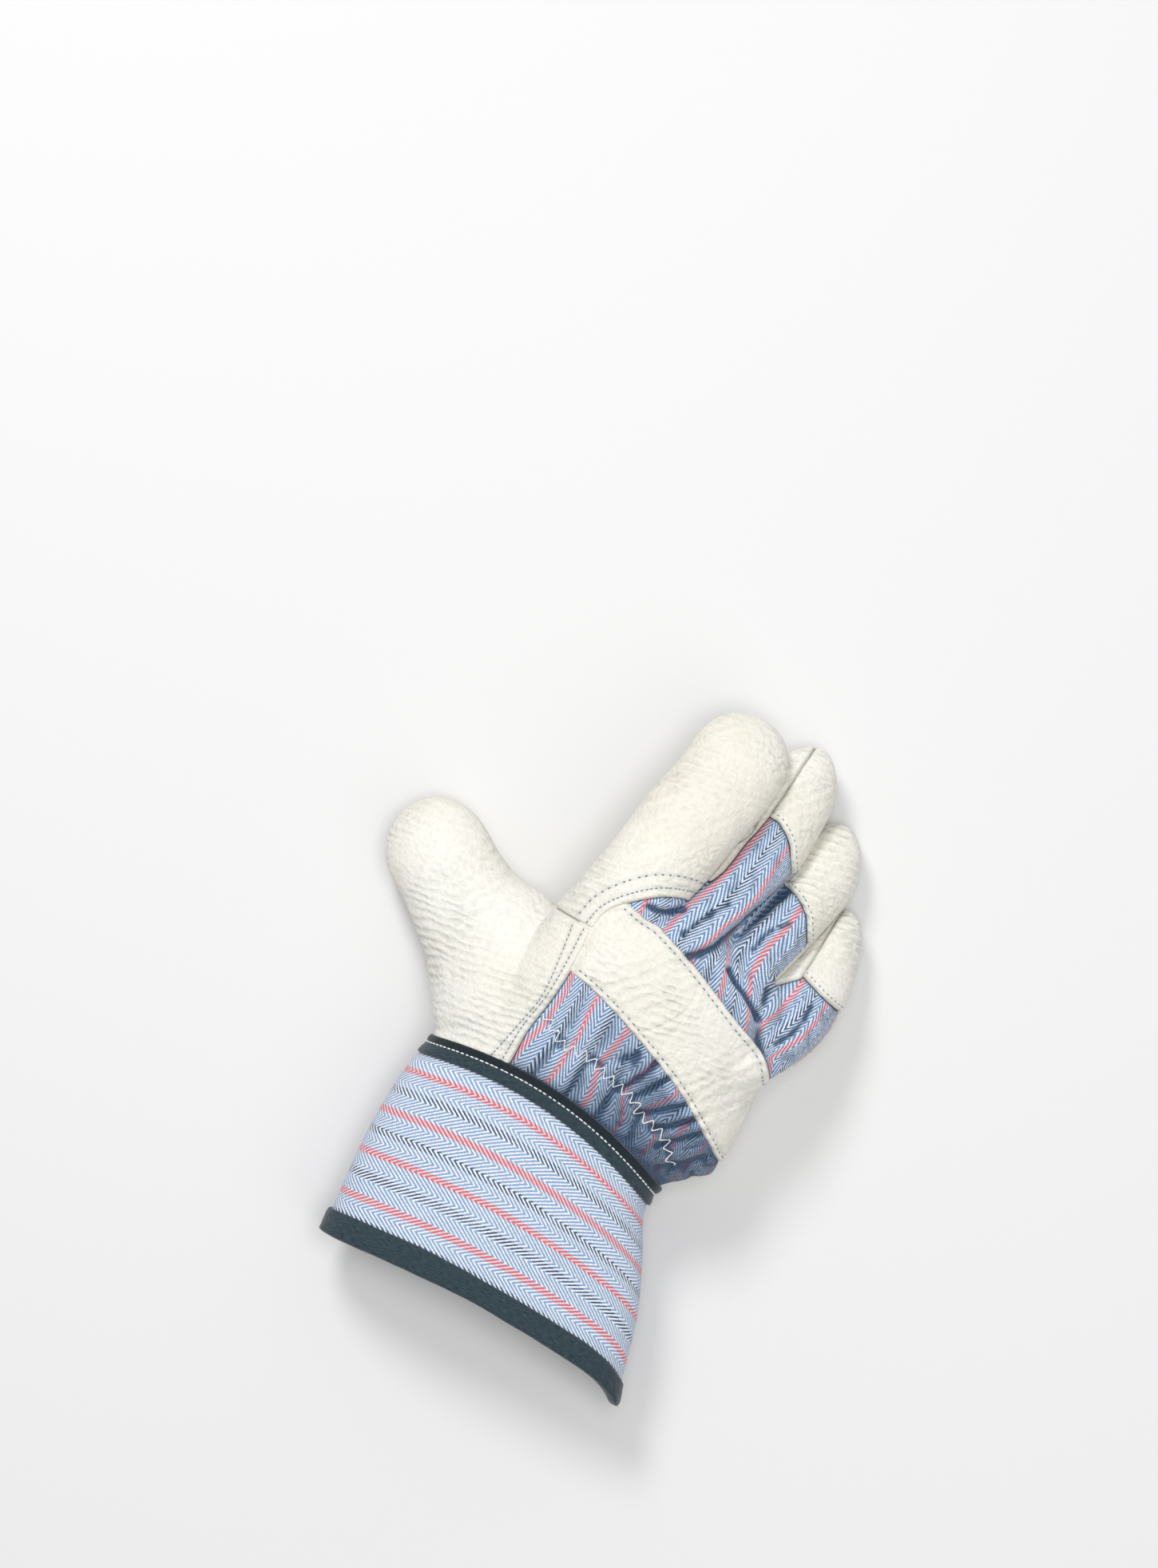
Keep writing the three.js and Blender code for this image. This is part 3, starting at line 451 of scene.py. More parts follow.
# %% Normals and smoothing
def normals_of(points, tris):
    """Unit normals of the vertices."""
    a, b, c = (points[tris[:, k]] for k in range(3))
    face = np.cross(b - a, c - a)
    out = np.zeros_like(points)
    for k in range(3):
        np.add.at(out, tris[:, k], face)
    return out / np.maximum(np.linalg.norm(out, axis=1), 1e-12)[:, None]


def relax(points, tris, rounds, rate=0.5):
    """Moves each vertex towards the mean of its neighbours."""
    edges = np.unique(np.sort(np.vstack([tris[:, [0, 1]], tris[:, [1, 2]], tris[:, [2, 0]]]), 1), axis=0)
    count = np.bincount(edges.ravel(), minlength=len(points))[:, None]
    for _ in range(rounds):
        total = np.zeros_like(points)
        np.add.at(total, edges[:, 0], points[edges[:, 1]])
        np.add.at(total, edges[:, 1], points[edges[:, 0]])
        points = points + rate * (total / np.maximum(count, 1) - points)
    return points


def halves(quads):
    """Each four-sided face as two triangles."""
    return np.vstack([quads[:, :3], quads[:, [0, 2, 3]]])


# %% A mesh that can be cut along a field
class Patch:
    """A triangle mesh with named values on its vertices, all in millimetres and in the plan's frame."""

    def __init__(self, tris, **values):
        self.tris, self.values = tris, values

    def __getitem__(self, name):
        return self.values[name]

    def __setitem__(self, name, value):
        self.values[name] = value

    def cut(self, field):
        """What lies where the field is above zero."""
        inside = field > 0
        count = inside[self.tris].sum(1)
        mixed = self.tris[(count == 1) | (count == 2)]
        flags = inside[mixed]
        lone = np.where(flags.sum(1) == 1, flags.argmax(1), (~flags).argmax(1))
        rolled = mixed[np.arange(len(mixed))[:, None], (lone[:, None] + np.arange(3)) % 3]
        pairs = np.sort(np.vstack([rolled[:, [0, 1]], rolled[:, [0, 2]]]), axis=1)
        unique, index = np.unique(pairs, axis=0, return_inverse=True)
        index = index.ravel()
        start, end = field[unique[:, 0]], field[unique[:, 1]]
        t = start / (start - end)
        values = {}
        for name, value in self.values.items():
            share = t.reshape(-1, *[1] * (value.ndim - 1))
            on_the_line = value[unique[:, 0]] * (1 - share) + value[unique[:, 1]] * share
            values[name] = np.concatenate([value, on_the_line])
        a, b, c = rolled.T
        ab, ac = len(field) + index[:len(mixed)], len(field) + index[len(mixed):]
        one = inside[a]
        tris = np.vstack([
            self.tris[count == 3],
            np.stack([a, ab, ac], 1)[one],
            np.stack([ab, b, c], 1)[~one],
            np.stack([ab, c, ac], 1)[~one],
        ])
        used, flat = np.unique(tris, return_inverse=True)
        return Patch(flat.reshape(-1, 3), **{name: value[used] for name, value in values.items()})

    def normals(self):
        return normals_of(self["co"], self.tris)

    def tree(self):
        return BVHTree.FromPolygons([Vector(p) for p in self["co"].tolist()], self.tris.tolist())


# %% From millimetres to an object on the glove's body
def make_object(name, points, faces, material, uv=None, shade=None):
    """A mesh object in metres that rides on the glove's one body."""
    mesh = bpy.data.meshes.new(name)
    mesh.from_pydata(((np.asarray(points) + SHIFT) * MM).tolist(), [], faces.tolist())
    mesh.polygons.foreach_set("use_smooth", np.full(len(mesh.polygons), True))
    if uv is not None:
        corner = np.zeros(len(mesh.loops), np.int32)
        mesh.loops.foreach_get("vertex_index", corner)
        layer = mesh.uv_layers.new(name="weave")
        layer.data.foreach_set("uv", np.asarray(uv, np.float32)[corner].ravel())
    if shade is not None:
        attribute = mesh.attributes.new("shade", "FLOAT", "POINT")
        attribute.data.foreach_set("value", np.asarray(shade, np.float32))
    mesh.materials.append(material)
    mesh.update()
    made = bpy.data.objects.new(name, mesh)
    bpy.context.scene.collection.objects.link(made)
    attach(made, "root")
    return made


# %% [markdown]
# ## Materials
#
# Weave and grain could come from image textures, but a pattern worked out by nodes keeps sharp at any
# distance and needs no file. A small class wraps a node socket, so that the patterns read as sums.

# %% Sums of node sockets
class Value:
    """A node socket to calculate with."""

    def __init__(self, paint, socket):
        self.paint, self.socket = paint, socket

    def math(self, operation, *others):
        node = self.paint.tree.nodes.new("ShaderNodeMath")
        node.operation = operation
        for target, value in zip(node.inputs, (self, *others)):
            self.paint.put(target, value)
        return Value(self.paint, node.outputs[0])

    def __add__(self, other):
        return self.math("ADD", other)

    __radd__ = __add__

    def __sub__(self, other):
        return self.math("SUBTRACT", other)

    def __rsub__(self, other):
        return (self * -1.0) + other

    def __mul__(self, other):
        return self.math("MULTIPLY", other)

    __rmul__ = __mul__

    def __truediv__(self, other):
        return self.math("DIVIDE", other)

    def __lt__(self, other):
        return self.math("LESS_THAN", other)

    def step(self, low, high):
        """A smooth step from 0 at low to 1 at high."""
        return self.paint.node("ShaderNodeMapRange", {"interpolation_type": "SMOOTHSTEP"},
                               {"Value": self, "From Min": low, "From Max": high})


# %% A material under construction
class Paint:
    """A material under construction."""

    def __init__(self, name, **constants):
        self.material = bpy.data.materials.new(name)
        self.material.use_nodes = True
        self.tree = self.material.node_tree
        self.shader = self.tree.nodes["Principled BSDF"]
        for key, value in constants.items():
            self.shader.inputs[key.replace("_", " ")].default_value = value

    def put(self, target, value):
        if isinstance(value, Value):
            self.tree.links.new(value.socket, target)
        elif value is not None:
            if isinstance(value, tuple) and len(value) == 3 and target.type == "RGBA":
                value = (*value, 1.0)
            target.default_value = value

    def node(self, kind, settings=None, inputs=None, output=0):
        made = self.tree.nodes.new(kind)
        for key, value in (settings or {}).items():
            setattr(made, key, value)
        for key, value in (inputs or {}).items():
            self.put(made.inputs[key], value)
        return Value(self, made.outputs[output])

    def mix(self, share, a, b):
        return self.node("ShaderNodeMix", {"data_type": "RGBA"}, {0: share, 6: a, 7: b}, 2)

    def place(self):
        """Where a point lies on the object, in metres."""
        return self.node("ShaderNodeTexCoord", output=3)

    def mapped(self, vector, **how):
        """Coordinates that are moved, turned or scaled."""
        return self.node("ShaderNodeMapping", None, {"Vector": vector, **how})

    def weave(self):
        """The weave map: stripes across, and millimetres along."""
        return self.node("ShaderNodeUVMap", {"uv_map": "weave"})

    def noise(self, where, scale, detail=3.0, roughness=0.5):
        return self.node("ShaderNodeTexNoise", None,
                         {"Vector": where, "Scale": scale, "Detail": detail, "Roughness": roughness})

    def attribute(self, name):
        return self.node("ShaderNodeAttribute", {"attribute_name": name}, output=2)

    def bump(self, height, distance, strength=1.0):
        return self.node("ShaderNodeBump", None,
                         {"Height": height, "Distance": distance, "Strength": strength})

    def finish(self, colour, roughness=None, normal=None):
        self.put(self.shader.inputs["Base Color"], colour)
        self.put(self.shader.inputs["Roughness"], roughness)
        self.put(self.shader.inputs["Normal"], normal)
        return self.material


def srgb(text):
    """A colour from its hex text, in linear light."""
    parts = [int(text[k:k + 2], 16) / 255 for k in (0, 2, 4)]
    return tuple(c / 12.92 if c < 0.04045 else ((c + 0.055) / 1.055) ** 2.4 for c in parts)


print("white in linear light", srgb("ffffff"))

# %% [markdown]
# ## Leather
#
# Full-grain cowhide is off-white, with a fine pebble grain and patches of soft parallel wrinkles where it
# bends. Sculpted wrinkles would need millions of faces. A wave texture, bent by noise, gives them as a
# bump, a noise fades them in and out in patches, and a faint grey-green painted shade darkens the grooves
# and the hollows of the grain.

# %% Leather
# How far apart the bands of a wave texture with scale 1 are
WAVE_SPACING = 0.314


def make_leather():
    """Off-white cowhide with pebble grain, and patches of soft ripples in two directions."""
    paint = Paint("leather", Specular_IOR_Level=0.3)
    where = paint.place()

    def wrinkles(turn, seed, spacing, low, high):
        """Rows of soft ripples a given distance apart, and how strong they are in patches of the hide."""
        flow = paint.mapped(where, Rotation=(0.0, 0.0, turn), Location=(seed, seed, 0.0),
                            Scale=(0.45, 1.0, 1.0))
        bends = {"Distortion": 5.0, "Detail": 2.0, "Detail Scale": 0.9, "Detail Roughness": 0.55}
        ripple = paint.node("ShaderNodeTexWave", {"bands_direction": "Y"},
                            {"Vector": flow, "Scale": WAVE_SPACING / spacing, **bends}, 1)
        patch = paint.noise(paint.mapped(where, Location=(seed, 0.3, 0.0)), 36.0, 3.0).step(low, high)
        return ripple, patch * 0.9 + 0.1

    ridge_a, patch_a = wrinkles(-0.45, 0.1, 0.0027, 0.42, 0.62)
    ridge_b, patch_b = wrinkles(-1.25, 2.7, 0.0023, 0.44, 0.64)
    grain = paint.noise(where, 640.0, 1.5)
    soft = paint.noise(where, 150.0, 2.0)
    tone = paint.noise(where, 16.0, 2.0)
    height = 0.36 * ridge_a * patch_a + 0.27 * ridge_b * patch_b + 0.42 * grain + 0.45 * soft
    # Painted shade: the valleys of the ripples and the hollows of the grain are darkened grey-green
    groove = (1.0 - ridge_a) * patch_a * 0.22 + (1.0 - ridge_b) * patch_b * 0.18
    groove = groove + (1.0 - grain.step(0.3, 0.6)) * 0.2
    base = paint.mix(tone.step(0.3, 0.7), srgb("f0eee7"), srgb("ece7db"))
    base = paint.mix(groove, base, srgb("c6c8bb"))
    base = paint.mix(paint.attribute("shade"), base, srgb("79867f"))
    return paint.finish(base, 0.5 + 0.1 * tone, paint.bump(height, 0.001))


leather_paint = make_leather()
print("leather nodes", len(leather_paint.node_tree.nodes))

# %% [markdown]
# ## Striped cloth
#
# The cotton is a herringbone twill: white and blue lines at an angle to the stripes, which turn back every
# 5 mm. Coral yarns and dark yarns show in the blue lines only, so their stripes are broken. Single threads
# as meshes would be far too many. The nodes work the weave out from the map of stripes and lengths that
# each mesh carries, so it follows the gathers.

# %% Striped cloth
STRIPE_PITCH = 17.5
HERRING, TWILL, WEFT = 5.1, 1.27, 0.85
CORAL_HALF, NAVY_HALF = 1.3, 1.4
SLANT = np.radians(35)
ALONG_SHARE, ACROSS_SHARE = float(np.sin(SLANT)), float(np.cos(SLANT))


def make_cloth(name, core_blue, shadowed_edge_blue, white_yarn):
    """Herringbone twill with coral stripes and rows of dark dashes."""
    paint = Paint(name, Specular_IOR_Level=0.15, Sheen_Weight=0.1, Sheen_Roughness=0.6)
    split = paint.tree.nodes.new("ShaderNodeSeparateXYZ")
    paint.put(split.inputs[0], paint.weave())
    across, along = Value(paint, split.outputs[0]), Value(paint, split.outputs[1])
    where = paint.place()
    wobble = paint.noise(where, 60.0, 2.0) - 0.5
    fine = paint.noise(where, 1100.0, 3.0, 0.6) - 0.5
    yarn = paint.noise(where, 2800.0, 1.0)
    across = (across + 0.03 * wobble) * STRIPE_PITCH
    along = along + 0.8 * wobble

    lift = across.math("PINGPONG", HERRING)
    phase = (along * ALONG_SHARE + lift * ACROSS_SHARE) / TWILL
    wave = (phase * float(2 * np.pi)).math("SINE") * 0.5 + 0.5 + 0.5 * fine
    weft = ((along * ACROSS_SHARE - lift * ALONG_SHARE) * (2 * np.pi / WEFT)).math("SINE")
    white = wave.step(0.22, 0.62) * (0.88 + 0.9 * fine + 0.14 * weft)
    tone = paint.noise(where, 35.0, 3.0).step(0.3, 0.7)
    # Painted shadow beside the white yarns: a blue line is darker at its edges than in its middle
    core = (1.0 - wave.step(0.02, 0.32)) * (0.6 + 0.4 * tone)
    base = paint.mix(white, paint.mix(core, srgb(shadowed_edge_blue), srgb(core_blue)), srgb(white_yarn))

    from_dark = ((across / STRIPE_PITCH).math("FRACT") - 0.5).math("ABSOLUTE") * STRIPE_PITCH + 0.8 * fine
    patchy = paint.noise(where, 120.0, 2.0).step(0.3, 0.6)
    dark = (from_dark < NAVY_HALF) * (1.0 - wave.step(0.34, 0.5)) * (0.7 + 0.3 * patchy)
    base = paint.mix(dark * 0.88, base, srgb("16304a"))
    from_coral = ((across / STRIPE_PITCH + 0.5).math("FRACT") - 0.5).math("ABSOLUTE") * STRIPE_PITCH
    red = (from_coral + 0.6 * fine < CORAL_HALF) * (1.0 - 0.65 * wave.step(0.45, 0.8))
    base = paint.mix(red, base, paint.mix(wave, srgb("da6c77"), srgb("f0a0a8")))

    base = paint.mix(paint.attribute("shade"), base, srgb("133a5b"))
    base = paint.mix((0.5 - yarn).math("MAXIMUM", 0.0) * 1.6, base, srgb("53749f"))
    return paint.finish(base, 0.85, paint.bump(wave * 0.26 + yarn * 0.14, 0.001))


# The same twill twice: the back's copy has darker colours, as painted shade on the gathered back
shaded_back_paint = make_cloth("cloth_back", "739fcf", "406fa6", "f2f8fe")
cuff_paint = make_cloth("cloth_cuff", "9abbe0", "6b93c6", "ffffff")
print("a coral stripe every", STRIPE_PITCH, "mm")

# %% [markdown]
# ## Tape and thread
#
# The binding is a dark ribbed tape with some lint, and the threads are grey and white. Both are narrow, so
# a stretched noise does for the ribs and a fine one for the twist of the thread.

# %% Tape and thread
def make_tape():
    """Dark woven tape with fine ribs along it and a little lint."""
    paint = Paint("binding_tape", Specular_IOR_Level=0.2, Sheen_Weight=0.25, Sheen_Roughness=0.5)
    ribs = paint.noise(paint.mapped(paint.weave(), Scale=(1.0, 0.12, 1.0)), 3.4, 3.0)
    lint = paint.noise(paint.place(), 700.0, 3.0, 0.7)
    base = paint.mix(ribs.step(0.3, 0.75), srgb("22313a"), srgb("3c4d55"))
    base = paint.mix(lint.step(0.62, 0.8) * 0.5, base, srgb("6c7c84"))
    base = paint.mix(paint.attribute("shade"), base, srgb("0c1620"))
    return paint.finish(base, 0.8, paint.bump(ribs * 0.8 + lint * 0.5, 0.0003, 0.8))


def make_thread(name, colour, dark):
    """Sewing thread with a twist."""
    paint = Paint(name, Roughness=0.6, Specular_IOR_Level=0.3)
    fuzz = paint.noise(paint.place(), 2200.0, 2.0)
    base = paint.mix(fuzz.step(0.3, 0.7), srgb(colour), srgb(dark))
    return paint.finish(base, None, paint.bump(fuzz, 0.0001, 0.6))


tape_paint = make_tape()
slate_thread = make_thread("slate_thread", "8293a1", "65788a")
white_thread = make_thread("white_thread", "f6f7f6", "dfe5ea")
print("materials", [material.name for material in bpy.data.materials])

# %% [markdown]
# ## The form under the sewn pieces
#
# The hand and the fingers of a glove run into each other without a step. Booleans would leave hard creases
# there. A fine voxel remesh joins the tubes into one skin, a few rounds of smoothing soften it, and then
# each vertex is asked which tube it is on and where on it.

# %% One skin over the tubes
VOXEL, SMOOTHING = 0.65, 10
BEHIND_WRIST = -9.0


def join_tubes():
    """One closed skin over all the tubes, at the outer face of the cloth."""
    points, faces, first = [], [], 0
    for tube in TUBES:
        start, count = (BEHIND_WRIST, 180) if tube is HAND else (0.0, 96)
        co, polygons = tube.mesh(CLOTH_OFFSET, count, 1.0, start)
        points.append(co)
        faces += [[k + first for k in face] for face in polygons]
        first += len(co)
    mesh = bpy.data.meshes.new("form")
    mesh.from_pydata((np.vstack(points) * MM).tolist(), [], faces)
    form = bpy.data.objects.new("form", mesh)
    bpy.context.scene.collection.objects.link(form)
    remesh = form.modifiers.new("remesh", "REMESH")
    remesh.mode, remesh.voxel_size = "VOXEL", VOXEL * MM
    evaluated = form.evaluated_get(bpy.context.evaluated_depsgraph_get()).to_mesh()
    evaluated.calc_loop_triangles()
    co = np.zeros(len(evaluated.vertices) * 3)
    evaluated.vertices.foreach_get("co", co)
    tris = np.zeros(len(evaluated.loop_triangles) * 3, np.int32)
    evaluated.loop_triangles.foreach_get("vertices", tris)
    bpy.data.objects.remove(form)
    tris = tris.reshape(-1, 3)
    return relax(co.reshape(-1, 3) / MM, tris, SMOOTHING), tris


form_points, form_tris = join_tubes()
print("form", len(form_points), "vertices")

# %% Which tube each vertex is on
BLEND = 1.2
places = [tube.local(form_points, CLOTH_OFFSET) for tube in TUBES]
outs = np.stack([place["out"] for place in places])
weights = np.exp(-np.clip(outs - outs.min(0), 0, 40) / BLEND)
weights /= weights.sum(0)
hand_out, index_out, middle_out = (outs[TUBES.index(tube)] for tube in (HAND, INDEX, MIDDLE))
print("vertices nearest to each tube", np.bincount(outs.argmin(0)))

# %% Height over the side seam
# The left edge of the back of two fingers, where the leather of the front comes round
LEFT_EDGES = {
    "middle": [(4, 84), (6.3, 92), (9.3, 100.5), (12.6, 111), (13.9, 119), (15.6, 128), (16.6, 137),
               (18, 150), (20, 168)],
    "little": [(43, 72), (46.7, 78.5), (50.8, 85.3), (56.6, 91), (57.3, 100), (57.6, 110), (58, 125)],
}
# The seam drops on the little finger's side of the hand, and leans on the ring finger and at a left edge
SEAM_DROP, RING_LEAN, EDGE_LEAN = 4.0, 0.3, 0.9
sides = []
for tube, place in zip(TUBES, places):
    height = place["up"]
    if tube is HAND:
        height = height + SEAM_DROP * smooth(place["x"], 0.2, 0.9) * (1 - smooth(form_points[:, 1], 40, 58))
    if tube.name == "ring":
        height = height - RING_LEAN * np.maximum(0, -place["across"])
    if tube.name in LEFT_EDGES:
        edge_x, edge_y = np.array(LEFT_EDGES[tube.name]).T
        from_edge = form_points[:, 0] - np.interp(form_points[:, 1], edge_y, edge_x)
        height = np.minimum(height, EDGE_LEAN * from_edge)
    sides.append(height)
side = (weights * np.stack(sides)).sum(0)
form_normals = normals_of(form_points, form_tris)
if (form_normals[:, 2] * np.sign(side) * (np.abs(side) > 5)).sum() < 0:
    form_tris = form_tris[:, ::-1].copy()
    form_normals = -form_normals
print("side seam at", form_points[np.abs(side) < 0.3, 2].mean().round(1), "mm above the floor")

# %% Distances from the seams of the thumb and the index finger
plan = form_points[:, :2]
thumb_top = outline_depth(thumb_back_outline, plan)
thumb_under = outline_depth(thumb_front_outline, plan)
thumb_field = np.where(side > 0, thumb_top, thumb_under)
hand_or_index = 0.5 * (middle_out - np.minimum(hand_out, index_out)) + 0.2
index_depth = outline_depth(index_outline, plan)
index_field = np.min([index_depth, -thumb_field, hand_or_index], axis=0)
print("on the thumb", int((thumb_field > 0).sum()), "on the index finger", int((index_field > 0).sum()))

# %% [markdown]
# ## Where the cloth's stripes run
#
# The stripes are woven in, so they show how the cloth was pulled: together where it is gathered at the
# wrist, and along each finger. An unwrap in the editor would spread them evenly. Here each stripe has its
# own line in plan, and the count between two lines is what the weave takes as its place across. Down the
# sides the count runs on, so that the pattern isn't stretched there.

# %% Stripe lines
# Each coral stripe's number, and its place across at lengths along the hand
STRIPES = [
    (-3, [(10, -48), (100, -46)]),
    (-2, [(10, -34), (90, -32)]),
    (-1, [(10, -20.5), (20, -19), (30, -16), (45, -15), (60, -18), (90, -20)]),
    (0, [(10, -5.4), (20, -3.8), (34, -3.2), (42, -4.4), (60, -4.5), (86, -6.5), (120, -2)]),
    (1, [(10, 10), (17, 11.2), (22, 9.9), (30, 8.1), (36, 9.6), (42, 10.8), (60, 10), (81, 4.3),
         (86, 5.9), (93.6, 7.6), (101.7, 10.9), (111, 14), (119, 15.3), (128, 17), (136, 18)]),
    (2, [(10, 25), (15, 25.4), (20, 22.8), (24, 20.8), (30, 22), (37, 24.9), (60, 23), (79, 17.9),
         (85, 20.4), (94, 22.8), (101, 26.2), (108, 28), (124, 28.5), (129, 29.1)]),
    (2.62, [(9, 34.1), (16.5, 33.3), (20, 29.1), (23, 27.3), (27, 28.8), (32, 31.8), (36, 32.3),
            (55, 31.2), (71.6, 28.2), (80.7, 26.1), (89, 26.2), (100, 28.8), (110, 31.2), (120, 32.8),
            (130, 34.8)]),
    (3, [(9, 39.6), (16.5, 38.6), (20, 33), (23, 31), (27, 33.4), (32, 37.3), (36, 37), (55, 36),
         (71.6, 33.3), (80.7, 30.7), (85, 28.5), (89, 27.5), (100, 30), (110, 32.4), (120, 34),
         (130, 36)]),
    (3.25, [(9, 42.2), (16.5, 40.6), (20, 36), (23, 34.8), (27, 37), (32, 40.2), (36, 40), (55, 39.3),
            (71.6, 36.3), (80.7, 33.1), (85, 30.2), (89, 28.6), (100, 30.8), (110, 33.2), (120, 34.8),
            (130, 36.8)]),
    (4, [(9, 50), (20, 45), (27, 47.8), (30, 48.6), (50, 49.5), (65, 48.1), (72, 44.9), (79, 41.1),
         (83, 39.5), (90, 39.5), (96, 40.2), (102.5, 42.6), (112, 43.7), (125, 44.5)]),
    (5, [(10, 60), (30, 60), (50, 58), (60, 54), (70.7, 52.1), (77.4, 55.4), (84.7, 57.4), (95, 58.5)]),
    (6, [(10, 72), (30, 72), (50, 66), (60.7, 60.6), (67.8, 64.5), (74, 67.9), (81, 69.3), (87, 69.7),
         (95, 70.5)]),
    (7, [(10, 84), (30, 84), (50, 79), (60, 74), (74, 80), (95, 83)]),
]

# %% The stripe count at each vertex
# Down the sides the pattern runs on by a share of the drop, over the mean pitch on the back
SIDE_SHARE, BACK_PITCH, MOST_DROP = 0.65, 14.5, 30
numbers = np.array([number for number, _ in STRIPES], float)
across_at = np.stack([np.interp(plan[:, 1], *np.array(line).T) for _, line in STRIPES])
upper = np.clip((across_at < plan[:, 0]).sum(0), 1, len(numbers) - 1)
every = np.arange(len(plan))
left_x, right_x = across_at[upper - 1, every], across_at[upper, every]
share = np.clip((plan[:, 0] - left_x) / (right_x - left_x), -1, 2)
stripe_count = numbers[upper - 1] + share * (numbers[upper] - numbers[upper - 1])
for k, (tube, weight, place) in enumerate(zip(TUBES, weights, places)):
    drop = np.maximum(0, place["thick"] - place["up"]) * smooth(np.abs(place["x"]), 0.5, 1.0)
    drop = drop * np.sign(place["x"]) * smooth(np.delete(outs, k, axis=0).min(0), 1, 8)
    if tube is HAND:
        drop = drop * (1 - smooth(plan[:, 1], 44, 60))
    stripe_count = stripe_count + SIDE_SHARE * weight * np.clip(drop, -MOST_DROP, MOST_DROP) / BACK_PITCH
weave = np.stack([stripe_count, plan[:, 1]], 1)
print("stripes from", stripe_count.min().round(1), "to", stripe_count.max().round(1))

# %% The form with its fields
CAPS = {
    "middle": [(8, 138), (17.6, 136.3), (21.8, 135.8), (28.2, 131.9), (31.9, 127), (40, 115)],
    "ring": [(24, 119.5), (33.1, 118), (40.8, 116), (46.9, 112), (49.4, 108.5), (56, 98)],
    "little": [(48, 95), (57.7, 91.9), (66.4, 89.3), (73.4, 87.8), (84, 86)],
}
FINGERS = {tube.name: k for k, tube in enumerate(TUBES) if tube.name in CAPS}
# Fields that level off between two fingers are made steep, so that a cut still reaches them
STEEP = 8.0
VALLEY_REACH = 1.8
form = Patch(form_tris, co=form_points, normal=form_normals, side=side, weave=weave,
             thumb=thumb_field, index=index_field, s=places[0]["s"], hand_out=hand_out)
form["index_hides"] = np.minimum(index_depth, STEEP * hand_or_index)
form["caps_hide"] = np.full(len(plan), -50.0)
# How deep the cloth lies between two fingers, for the painted shade there
finger_outs = np.sort(outs[TUBES.index(INDEX):], axis=0)
form["valley"] = np.exp(-np.maximum(finger_outs[1], 0) / VALLEY_REACH) * smooth(hand_out, -1, 4)
for name, k in FINGERS.items():
    others = np.delete(outs, k, axis=0).min(0)
    seam = spline(CAPS[name])
    beyond = outline_depth(np.vstack([seam, [(seam[-1, 0] + 60, 200), (seam[0, 0] - 60, 200)]]), plan)
    form["on_" + name] = (others - outs[k]) * 0.5
    on_finger = form["on_" + name] + 0.4
    form["cap_" + name] = np.minimum(beyond, on_finger)
    form["caps_hide"] = np.maximum(form["caps_hide"], np.minimum(beyond, STEEP * on_finger))
print("under the caps", int((form["caps_hide"] > 0).sum()), "vertices")

# %% [markdown]
# ## Folds
#
# The zigzag seam gathers the cloth at the wrist. It draws a dip across the hand with puffs on both sides,
# and deeper folds fan out from it under the strap at the little finger's side. A cloth simulation
# would gather the cloth too, but its folds would fall where they like. Here each main fold is a line with
# a depth and a width, and noise adds the small ones.

# %% Fold lines
ZIGZAG = [(-16.5, 33.5), (-13.8, 31.8), (-7.4, 28.1), (-2, 27.9), (3.6, 28.4), (11.4, 26.2), (16.6, 25.2),
          (22.6, 23.9), (26.8, 22.3), (29.5, 20), (37, 18.2), (42.8, 16.2), (46.3, 12.2), (49.6, 8.8)]

# Creases of the cloth: depth and width in millimetres, and the line
CREASES = [
    (1.2, 2.2, [(9, 29), (13, 33), (19, 38)]),
    (2.3, 1.6, [(18.5, 24), (21, 27), (24, 33), (26, 40)]),
    (1.9, 1.7, [(24.5, 24.5), (27.5, 28), (30.7, 34), (34, 40)]),
    (2.8, 1.7, [(30, 20), (33.7, 23), (38, 27), (42.2, 31), (46, 36)]),
    (2.5, 1.6, [(36, 17.5), (40.2, 20.7), (46.5, 27), (51, 32)]),
    (2.3, 1.6, [(41, 13.5), (48.2, 20.6), (54, 26)]),
    (2.0, 1.8, [(45, 6), (51, 10), (58, 17)]),
    (0.8, 1.6, [(-11, 11), (-10, 25)]),
    (0.9, 1.6, [(3, 11), (3.5, 25)]),
    (1.0, 1.6, [(17, 10), (17, 22)]),
    (1.2, 1.6, [(31, 9), (30, 18)]),
    (2.6, 2.4, [(17, 78), (22, 83), (26, 90), (29, 98), (33, 108), (36, 117)]),
    (2.4, 1.5, [(32, 81), (38, 77.5), (44, 74.5), (50, 71)]),
    (1.8, 1.6, [(-5, 86.5), (1, 87), (7, 92)]),
    (1.6, 2.4, [(48, 81), (50, 72), (54, 64), (60, 57)]),
    (1.0, 1.5, [(36, 92), (38, 100), (43, 106)]),
    (0.9, 1.5, [(11, 84), (15, 93), (20, 101)]),
    (1.1, 1.5, [(60, 66), (64, 74), (65, 84)]),
]
zigzag_line = spline(ZIGZAG)
print("creases", len(CREASES), "deepest", max(depth for depth, _, _ in CREASES), "mm")


# %% How far the cloth stands out
# Where the gathers are and how far they reach, and the height and the size of each kind of fold
GATHER = {"middle": 20, "reach": 26, "lift": 1.2, "pitch": 13.0, "puff": 0.9, "dip": 1.3, "dip_width": 2.6,
          "fold": 1.2, "fan_fold": 1.6, "fold_size": (3.6, 24), "small": 1.3, "small_size": (2.3, 6)}
# How steeply the strap runs down across the hand
STRAP_SLOPE = 0.42
# A crease is a groove with shoulders, and reaches no farther than this
GROOVE, SHOULDER, SHOULDER_WIDTH, CREASE_REACH = 1.25, 0.5, 2.3, 40


